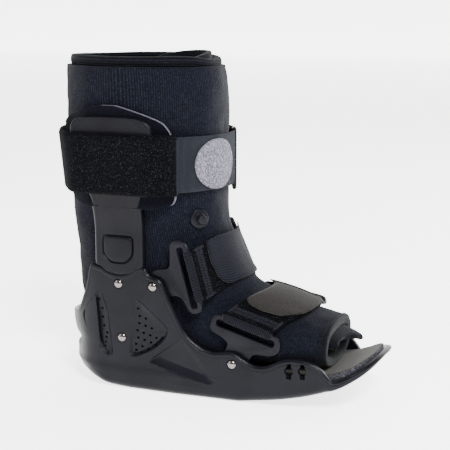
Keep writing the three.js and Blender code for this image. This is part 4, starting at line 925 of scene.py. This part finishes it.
ANKLE_ROWS = [
    [(26.5, -53, 137.8), (33.2, -53, 113.8), (40, -53, 89.7)],
    [(30.6, -44.9, 140.2), (37.3, -44.8, 116.8), (45.7, -44.7, 94.1)],
    [(34.6, -37, 142.5), (41.3, -36.9, 119.8), (51.1, -36.6, 98.4)],
    [(38.3, -29.8, 144.6), (44.9, -29.6, 122.5), (56.2, -29.2, 102.3)],
    [(41.3, -24, 146.3), (47.9, -23.8, 124.7), (60.2, -23.2, 105.5)],
    [(44.4, -17, 146.9), (51.1, -16.9, 125.4), (63.6, -16.5, 106.3)],
    [(46.3, -9.2, 147.3), (53.1, -9.1, 125.9), (65.6, -8.9, 106.7)],
    [(46.9, 1.1, 147.4), (53.6, 1.1, 126), (66.2, 1.1, 106.8)],
    [(46.1, 10.5, 147.2), (52.9, 10.4, 125.8), (65.4, 10.2, 106.7)],
    [(44, 18.1, 146.8), (50.7, 18, 125.3), (63.2, 17.6, 106.2)],
    [(40.7, 25, 146.2), (47.2, 24.7, 124.5), (59.6, 24.2, 105.3)],
    [(37.3, 30.4, 148.9), (47.5, 29.9, 126), (57.7, 29.4, 103.2)],
]
FOREFOOT_ROWS = [
    [(58.3, -50, 80.1), (82.3, -50, 73.3), (106.4, -50, 66.5)],
    [(61.6, -45.1, 82.7), (85.6, -44.9, 76.4), (110.9, -44.8, 70.6)],
    [(64.8, -40.3, 85.3), (88.8, -40.1, 79.3), (115.3, -39.9, 74.6)],
    [(67.7, -36, 87.6), (91.8, -35.5, 82), (119.4, -35.3, 77)],
    [(70.1, -32.4, 89.4), (94.1, -31.9, 84.1), (122.6, -31.6, 78.6)],
    [(77.8, -25.4, 92.2), (101.4, -25, 86.9), (127.5, -24.8, 79.8)],
    [(83.1, -17.2, 94.1), (106.4, -17, 88.8), (130.8, -16.9, 81.2)],
    [(85.9, -7.8, 95), (109.1, -7.7, 89.8), (132.6, -7.7, 82)],
    [(86.3, 4.9, 95.1), (109.4, 4.9, 90), (132.8, 4.9, 82.1)],
    [(84.1, 14.9, 94.4), (107.4, 14.7, 89.2), (131.5, 14.6, 81.4)],
    [(79.4, 23.3, 92.8), (103, 23, 87.5), (128.5, 22.8, 80)],
    [(74.6, 28.6, 94), (99.3, 28.3, 90), (124, 27.9, 82)],
]


def lifted(rows, off, centre):
    """Rows of a strap moved away from the foot."""
    rows = np.asarray(rows, float)
    normal = np.cross(np.gradient(rows, axis=0), np.gradient(rows, axis=1))
    normal /= np.linalg.norm(normal, axis=2)[..., None]
    turn = np.sign(((rows - np.array(centre)) * normal).sum(axis=2))
    return rows + normal * (turn * off)[..., None]


# Calf strap: corners of its plan, from the medial ring round the heel to the lateral front
PILE_PLAN = [
    (32.8, 36.2), (25, 46), (13.4, 58.4), (-2, 71), (-20, 73.1), (-60, 73.3), (-81, 72), (-96, 57.5),
    (-110, 35), (-116.2, 19.4), (-118.6, 0), (-116.2, -19.4), (-110, -35), (-96, -57.8), (-82, -71.8),
    (-60, -73.4), (-20, -73.3), (-3.5, -71.4), (12.6, -59.6), (16, -56.2),
]
WEBBING_PLAN = [
    (9.5, -61.8), (16.4, -55.4), (33.2, -33.6), (38.6, -22.5), (40.4, -17), (42.4, 0), (42.2, 10),
    (40.6, 21.6),
]
CALF_HEIGHT = 214.0


def calf_band(name, plan, width, thickness, lean, step=2.0, **cuts):
    """Strap round the calf; lean says how far its upper edge stands out beyond its lower one."""
    line = smooth_line([(x, y, 0) for x, y in plan], 3.0)
    way = np.gradient(line, axis=0)
    out = np.stack((way[:, 1], -way[:, 0], 0 * way[:, 0]), -1)
    out /= np.linalg.norm(out, axis=1)[:, None]
    if ((line - np.array((-38.0, 0, 0))) * out).sum() < 0:
        out = -out
    lean = np.array([lean(x, y) for x, y, _ in line])
    rows = []
    for share in (-0.5, 0, 0.5):
        edge = line + out * (lean * share)[:, None]
        edge[:, 2] = CALF_HEIGHT + share * width
        rows.append(edge)
    return strap_sheet(name, np.stack(rows, 1), thickness, along_step=step, across=22, **cuts)


# Brackets, rings and valve

# Middle of each bar and its way down, as x and height, its distance from the middle plane, and
# the outline of the plate, in which None stands for the two corners by the bar
BRACKETS = {
    "ankle": (
        (29.9, 112.8), (0.271, -0.963), 53.0,
        [
            (-16.6, 91.2), (-15.3, 111), (-5.4, 116.9), (7.8, 117.9), (7.8, 144.7), None, (29, 77.3),
            (18.4, 94.5), (-1.4, 91.9),
        ],
    ),
    "forefoot": (
        (81.4, 70), (0.962, -0.272), 50.0,
        [
            (59.1, 27.8), (59.8, 45.6), (64.4, 53.5), (56.5, 59.5), (44.6, 64.7), None, (113.2, 50.2),
            (104.6, 45.6), (86.2, 46.3), (80.2, 27.8),
        ],
    ),
}
BAR_HALF, SLOT_HALF, SLOT_WIDTH, PLATE_THICKNESS = 2.0, 29.0, 6.7, 3.0


def bracket_plate(name):
    """Lateral bracket: a plate with a slot beside the bar that the strap goes round."""
    middle, axis, y, outline = BRACKETS[name]
    by_bar = lambda along_bar, across: (
        middle[0] + axis[0] * along_bar - axis[1] * across, middle[1] + axis[1] * along_bar + axis[0] * across
    )
    reach = SLOT_HALF + 2 * BAR_HALF
    corners = []
    for corner in outline:
        corners += [corner] if corner else [by_bar(-reach, BAR_HALF), by_bar(reach, BAR_HALF)]
    body = plate(
        f"{name}_bracket", rounded(corners, 6.4, arc=8),
        -(y + PLATE_THICKNESS / 2), -(y - PLATE_THICKNESS / 2),
    )
    far = -BAR_HALF - SLOT_WIDTH
    slot = rounded(
        [
            by_bar(-SLOT_HALF, -BAR_HALF), by_bar(SLOT_HALF, -BAR_HALF),
            by_bar(SLOT_HALF, far), by_bar(-SLOT_HALF, far),
        ],
        SLOT_WIDTH / 2, arc=8,
    )
    cut(body, skin("slot", [[(x, side, z) for x, z in slot] for side in (-70, -40)]))
    soften(body, 0.9, segments=3)
    return body


def cord(name, line, radius, normal, closed=False, around=8):
    """Round cord along a line; normal is a way that the line never takes."""
    line = np.asarray(line, float)
    way = np.roll(line, -1, axis=0) - np.roll(line, 1, axis=0) if closed else np.gradient(line, axis=0)
    out = np.cross(way, normal)
    out /= np.linalg.norm(out, axis=1)[:, None]
    up = np.cross(out, way)
    up /= np.linalg.norm(up, axis=1)[:, None]
    return rolled_band(name, line, out, up, radius, radius, closed, square=2.0, around=around)


# Rings: middle of the bar near the strap, of the far bar, the way along both and half their length
RINGS = {
    "ankle": ((45.8, 32.7, 125.2), (39.2, 43.5, 122), (0.409, -0.02, -0.913), 29.5),
    "forefoot": ((99, 31, 87.9), (97.9, 41.3, 80), (0.987, -0.015, -0.16), 29.5),
    "calf": ((41.2, 21.4, 212), (35.5, 33, 212), (0, 0, 1), 28.0),
}


def strap_ring(name):
    near, far, axis, half = (np.array(value, float) for value in RINGS[name])
    corners = [near - axis * half, near + axis * half, far + axis * half, far - axis * half]
    line = even_steps(np.concatenate((rounded(corners, 4), rounded(corners, 4)[:1])), 1.5, closed=True)
    ring = cord(f"{name}_ring_moulded", line, 2.0, np.cross(axis, far - near), closed=True, around=14)
    return ring


def ring_webbing(name):
    """Band from the medial bracket's bar to the ring's far bar, with a wrap round each."""
    (x, z), (ax, az), y, _ = BRACKETS[name]
    bar, bar_axis = np.array((x, y, z)), np.array((ax, 0, az))
    _, far, far_axis, _ = (np.array(value, float) for value in RINGS[name])
    rows = []
    for t in np.linspace(0, 1, 4):
        middle, axis = far + (bar - far) * t, far_axis + (bar_axis - far_axis) * t
        rows.append([middle + axis * 24.5 * share for share in (-1, 0, 1)])
    leave = (bar - far) / np.linalg.norm(bar - far)
    pieces = [strap_sheet(f"{name}_ring_webbing_woven", rows, 3.0)]
    for bar_middle, axis in ((bar, bar_axis), (far, far_axis)):
        out = np.cross(leave, axis)
        pieces.append(bar_wrap("wrap", bar_middle, axis, leave, out / np.linalg.norm(out), 49))
    return joined(f"{name}_ring_webbing_woven", pieces)


VALVE_SEAT = Vector((27.8, -32.8, 162.7))
VALVE_AXIS = Vector((0.703, -0.711, 0.038)).normalized()


def turned_part(radius, top_radius, depth, lift, bevel):
    """Cone or cylinder on the valve's axis, standing off the liner."""
    bpy.ops.object.select_all(action="DESELECT")
    bpy.ops.mesh.primitive_cone_add(
        vertices=48, radius1=radius * MM, radius2=top_radius * MM, depth=depth * MM,
        location=(VALVE_SEAT + VALVE_AXIS * (lift + depth / 2)) * MM,
        rotation=VALVE_AXIS.to_track_quat("Z", "Y").to_euler(),
    )
    part = settle_place(bpy.context.object)
    soften(part, bevel, segments=3)
    return part


def felt_disc():
    """Round felt pad on the front of the calf strap."""
    line = smooth_line(WEBBING_PLAN, 0.5)
    way = np.gradient(line, axis=0)
    out = np.stack((way[:, 1], -way[:, 0]), -1) / np.linalg.norm(way, axis=1)[:, None]
    length = np.arange(len(line)) * 0.5
    centre = np.interp(-21, line[:, 1], length)
    turn = np.linspace(0, 2 * math.pi, 72, endpoint=False)
    rows = []
    for radius, off in (
        (0.5, 1.5), (11, 1.5), (22, 1.5), (22.9, 2), (23.1, 2.8), (22.8, 3.6), (22.1, 3.9), (21.2, 3.6),
        (20, 3.6), (16, 3.7), (12, 3.75), (8, 3.8), (4, 3.8), (0.5, 3.8),
    ):
        at = centre + 1.1 * radius * np.cos(turn)
        ragged = 0.25 * np.array([noise.noise(Vector((math.cos(t), math.sin(t), 0)) * 9) for t in turn])
        at = at + ragged * np.cos(turn)
        x, y = (np.interp(at, length, line[:, k]) + off * np.interp(at, length, out[:, k]) for k in (0, 1))
        rows.append(np.stack((x, y, CALF_HEIGHT - 1 + (radius + ragged) * np.sin(turn)), -1))
    return skin("calf_patch_felt", rows)


# Footbed, pads and toe flap

# Plan of the footbed: x, half width
FOOTBED_PLAN = [
    (-98.6, 11.8), (-96, 20), (-91.9, 27.1), (-77.3, 40.1), (-38, 46), (95.4, 45.4), (149.5, 43.7),
    (168, 41.3), (178, 37), (185, 30), (190, 19), (191.5, 12),
]


def footbed_sheet():
    """Insole that follows the floor of the shell up to the lip."""
    spans = ((-98.6, -70, 16), (-66, 165, 70), (167, 191.5, 22))
    places = np.concatenate([np.linspace(*span) for span in spans])
    rows = []
    for x in places:
        half = np.interp(x, column(FOOTBED_PLAN, 0), column(FOOTBED_PLAN, 1))
        low = along(FLOOR_LINE, x) + 0.5
        top = low + 7.4
        side = [
            (-half, low), (-half - 0.3, low + 3.5), (-half, top - 1.2),
            (-half + 0.4, top - 0.4), (-half + 1.3, top),
        ]
        middle = [(y, top + 0.1) for y in np.linspace(-half + 3, half - 3, 9)]
        rows.append([(x, y, z) for y, z in side + middle] + [(x, -y, z) for y, z in side[::-1]])
    return skin("footbed_insole", rows)


# Outline of a pad: height, reach to the heel and reach to the toe, as shares
PAD_ROWS = [
    (0, 0.45, 0.72), (0.04, 0.75, 0.93), (0.12, 0.86, 0.98), (0.4, 0.92, 1), (0.68, 0.99, 0.94),
    (0.82, 0.99, 0.82), (0.91, 0.8, 0.55), (0.97, 0.5, 0.22), (1, 0.22, 0.02),
]
PAD_MIDDLE, PAD_FOOT, PAD_HALF, PAD_TALL = -42.6, 173.5, 56.0, 92.5


def upright_pad():
    """Foam pad under the lateral paddle, faced with knit and cut square at its edge."""
    shares = np.concatenate((np.linspace(0, 0.12, 8), np.linspace(0.15, 0.8, 22), np.linspace(0.82, 1, 18)))
    rows = []
    for up in shares:
        aft, fore = (follow(column(PAD_ROWS, 0), column(PAD_ROWS, k), up) for k in (1, 2))
        x = PAD_MIDDLE + PAD_HALF * np.linspace(-aft, fore, 26)
        face = 63.9 - 12.5 * ease(24, 60, np.abs(x - PAD_MIDDLE))
        z = np.full(len(x), PAD_FOOT + PAD_TALL * up)
        outer, inner = np.stack((x, -face, z), -1), np.stack((x, -(face - 5), z), -1)
        rows.append(np.concatenate((outer, inner[::-1])))
    pad = skin("upright_pad", rows)
    soften(pad, 0.8, segments=2, angle=50)
    return pad


def toe_flap():
    """Tongue of knit that reaches out of the toe on the far side."""
    turn = np.linspace(0.5, -0.47, 44) * math.pi
    share = np.linspace(0, 1, len(turn))
    inset = LINER_WALL + 4.1
    start, edge = liner_ring(TOE - 1, turn, inset), liner_ring(TOE, turn, inset)
    reach = 5 + 11 * ease(0.3, 0.8, share) * (1 - 0.5 * ease(0.85, 1, share)) + 0.7 * np.sin(share * 23)
    tip = edge + np.stack((reach, 0 * reach, -0.45 * reach), -1)
    return strap_sheet("liner_toe_flap_knit", np.stack((start, edge, tip), 1), 6.0, across=14)


# Sewing


def on_strap(rows, along_mm, across):
    """Point of a strap at a distance along it, part of the way across."""
    edges = []
    for k in range(3):
        length = np.concatenate(([0], np.cumsum(np.linalg.norm(np.diff(rows[:, k], axis=0), axis=1))))
        edges.append(np.array([np.interp(along_mm, length, rows[:, k, axis]) for axis in range(3)]))
    a, m, b = edges
    return a * (1 - across) * (1 - 2 * across) + 4 * m * across * (1 - across) + b * across * (2 * across - 1)


SEAM_FROM, SEAM_TO = 5.0, 12.5


def seam(name, rows, centre):
    """Crossed zigzag that holds the strap's end down, with a bar tack at both edges."""
    over = lifted(rows, 2.0, centre)
    normal = np.cross(over[1, 1] - over[0, 1], over[0, 2] - over[0, 0])
    threads = []
    for phase in (0, 1):
        corners = [
            on_strap(over, SEAM_FROM if (i + phase) % 2 else SEAM_TO, 0.07 + 0.86 * i / 17) for i in range(18)
        ]
        threads.append(cord("thread", even_steps(np.array(corners), 0.9), 0.55, normal, around=6))
    for across in (0.045, 0.955):
        tack = [on_strap(over, at, across) for at in np.linspace(SEAM_FROM - 1.5, SEAM_TO + 2, 14)]
        threads.append(cord("thread", tack, 1.0, normal, around=6))
    return joined(f"{name}_strap_seam", threads)


# Build

shell = dress(rocker_shell(), [shell_nylon], ["rocker_shell"])
shell.name = shell.data.name = "shell_moulded"

strut = upright()
strut.name = "upright_lateral_moulded"
button = upright_catch()
button.name = "catch_lateral_moulded"
for lateral, cad in ((strut, "upright"), (button, "upright_catch")):
    medial = mirrored(lateral, lateral.name.replace("lateral", "medial"))
    dress(lateral, [shell_nylon], [f"{cad}_lateral"])
    dress(medial, [shell_nylon], [f"{cad}_medial"])

for place, (x, z) in RIVETS.items():
    for side, label in ((LATERAL, "lateral"), (MEDIAL, "medial")):
        head = rivet(x, z, side, f"rivet_head_{place}_{label}")
        dress(head, [polished_steel], [f"rivet_{place}_{label}"])

liner = dress(padded_liner(), [liner_knit], ["liner"])
liner.name = "liner_padded"
cuff = dress(top_binding(), [binding_knit], ["liner_top_binding"])
flap = dress(front_flap(), [binding_knit], ["liner_front_flap"])
toe_edge = dress(toe_binding(), [binding_knit], ["liner_toe_binding"])

calf_pile = calf_band("calf_pile", PILE_PLAN, 55, 4.2, lambda x, y: 5.0 * float(x < -10))
dress(calf_pile, [loop_pile], ["calf_strap_pile"])
calf_web = calf_band("calf_webbing", WEBBING_PLAN, 50, 2.6, lambda x, y: 0.0)
dress(calf_web, [webbing], ["calf_strap_webbing"])

for name, rows, centre, tone, first, cut_near in (
    ("ankle", ANKLE_ROWS, (10, 0, 100), tab_weave, 0.2, [(0, 0), (0.4, 0), (0.75, 3), (0.92, 8), (1, 14)]),
    (
        "forefoot", FOREFOOT_ROWS, (95, 0, 55), warm_weave, 0.19,
        [(0, 14), (0.06, 7), (0.2, 2), (0.5, 0), (0.8, 2), (0.94, 8), (1, 15)],
    ),
):
    rows = np.array(rows, float)
    (x, z), (ax, az), y, _ = BRACKETS[name]
    wrap = bar_wrap("wrap", (x, -y, z), (ax, 0, az), (-az, 0, ax), (0, -1, 0), 49)
    strap = paint(strap_sheet(f"{name}_strap_pile", rows, 3.0), loop_pile)
    band = paint(strap_sheet("band", lifted(rows, 1.2, centre), 1.6, first=0.0, last=0.16), loop_pile)
    strap = joined(f"{name}_strap_pile", [strap, band, paint(wrap, black_webbing)])
    seat_on_frame(strap, [f"{name}_strap"])
    sewn = dress(seam(name, rows, centre), [thread], [f"{name}_strap"])
    tab_rows = lifted(rows, 2.9, centre)
    tab = strap_sheet(f"{name}_tab_woven", tab_rows, 2.0, cut_start=cut_near, first=first)
    dress(tab, [tone], [f"{name}_strap_tab"])
    dress(strap_ring(name), [bracket_nylon], [f"{name}_ring"])
    dress(ring_webbing(name), [black_webbing], [f"{name}_ring_webbing"])
    lateral = bracket_plate(name)
    lateral.name = f"{name}_bracket_lateral_moulded"
    medial = mirrored(lateral, f"{name}_bracket_medial_moulded")
    dress(lateral, [bracket_nylon], [f"{name}_bracket_lateral"])
    dress(medial, [bracket_nylon], [f"{name}_bracket_medial"])

dress(strap_ring("calf"), [bracket_nylon], ["calf_ring"])
dress(felt_disc(), [grey_felt], ["calf_patch"])
flange_rings = [turned_part(8.9, 8.6, 1.6, 0.4, 0.6), turned_part(6, 5.2, 1.6, 1.4, 0.5)]
flange = joined("valve_flange_moulded", flange_rings)
dress(flange, [bracket_nylon], ["valve_flange"])
knob_rings = [turned_part(2.9, 2.9, 4, 2.4, 0.3), turned_part(4.6, 4.3, 4.6, 5.6, 0.9)]
knob = joined("valve_knob_moulded", knob_rings)
dress(knob, [bracket_nylon], ["valve_knob"])

insole = dress(footbed_sheet(), [insole_cover, insole_foam], ["footbed"])
second_finish(insole, lambda normal: normal.z < 0.6)
pad = upright_pad()
pad.name = "upright_pad_lateral_foam"
far_pad = mirrored(pad, "upright_pad_medial_foam")
for piece, side in ((pad, "lateral"), (far_pad, "medial")):
    dress(piece, [liner_knit, foam_edge], [f"upright_pad_{side}"])
    second_finish(piece, lambda normal: abs(normal.y) < 0.55)
tongue = dress(toe_flap(), [binding_knit], ["liner_toe_flap"])


# Stage


def stage_sheet(name, place, turn, paper):
    bpy.ops.object.select_all(action="DESELECT")
    bpy.ops.mesh.primitive_plane_add(size=16, location=place, rotation=(turn, 0, 0))
    sheet = bpy.context.object
    sheet.name = name
    paint(sheet, paper)


def studio_light(name, place, target, size, watts, colour="#ffffff"):
    lamp = bpy.data.lights.new(name, "AREA")
    lamp.shape = "RECTANGLE"
    lamp.size, lamp.size_y = size
    lamp.energy = watts
    lamp.color = hex_colour(colour)[:3]
    obj = bpy.data.objects.new(name, lamp)
    obj.location = place
    obj.rotation_euler = (Vector(target) - Vector(place)).to_track_quat("-Z", "Y").to_euler()
    bpy.context.scene.collection.objects.link(obj)


white_paper, _ = new_material(
    "white paper", Roughness=0.9, Base_Color=hex_colour("#ffffff"),
    Emission_Color=(1, 1, 1, 1), Emission_Strength=2.8,
)
stage_sheet("studio_floor", (0, 0, 0), 0, white_paper)
stage_sheet("studio_wall", (0, 7.5, 0), math.pi / 2, white_paper)
world = bpy.context.scene.world or bpy.data.worlds.new("studio")
bpy.context.scene.world = world
world.use_nodes = True
world.node_tree.nodes["Background"].inputs["Color"].default_value = (1, 1, 1, 1)
world.node_tree.nodes["Background"].inputs["Strength"].default_value = 0.5
studio_light("key", (1.1, -1.3, 1.7), (0, 0, 0.15), (0.6, 0.6), 115)
studio_light("fill", (-1.6, -1.2, 0.9), (0, 0, 0.15), (1.0, 1.0), 16)
studio_light("rim", (1.2, 1.2, 1.0), (0, 0, 0.15), (0.8, 1.2), 40)

lens = bpy.data.cameras.new("camera")
lens.lens = 91.2
lens.sensor_width = 36
camera = bpy.data.objects.new("camera", lens)
camera.location = (0.43334, -0.97354, 0.352)
camera.rotation_euler = (Vector((0.040, 0, 0.152)) - camera.location).to_track_quat("-Z", "Y").to_euler()
bpy.context.scene.collection.objects.link(camera)
bpy.context.scene.camera = camera
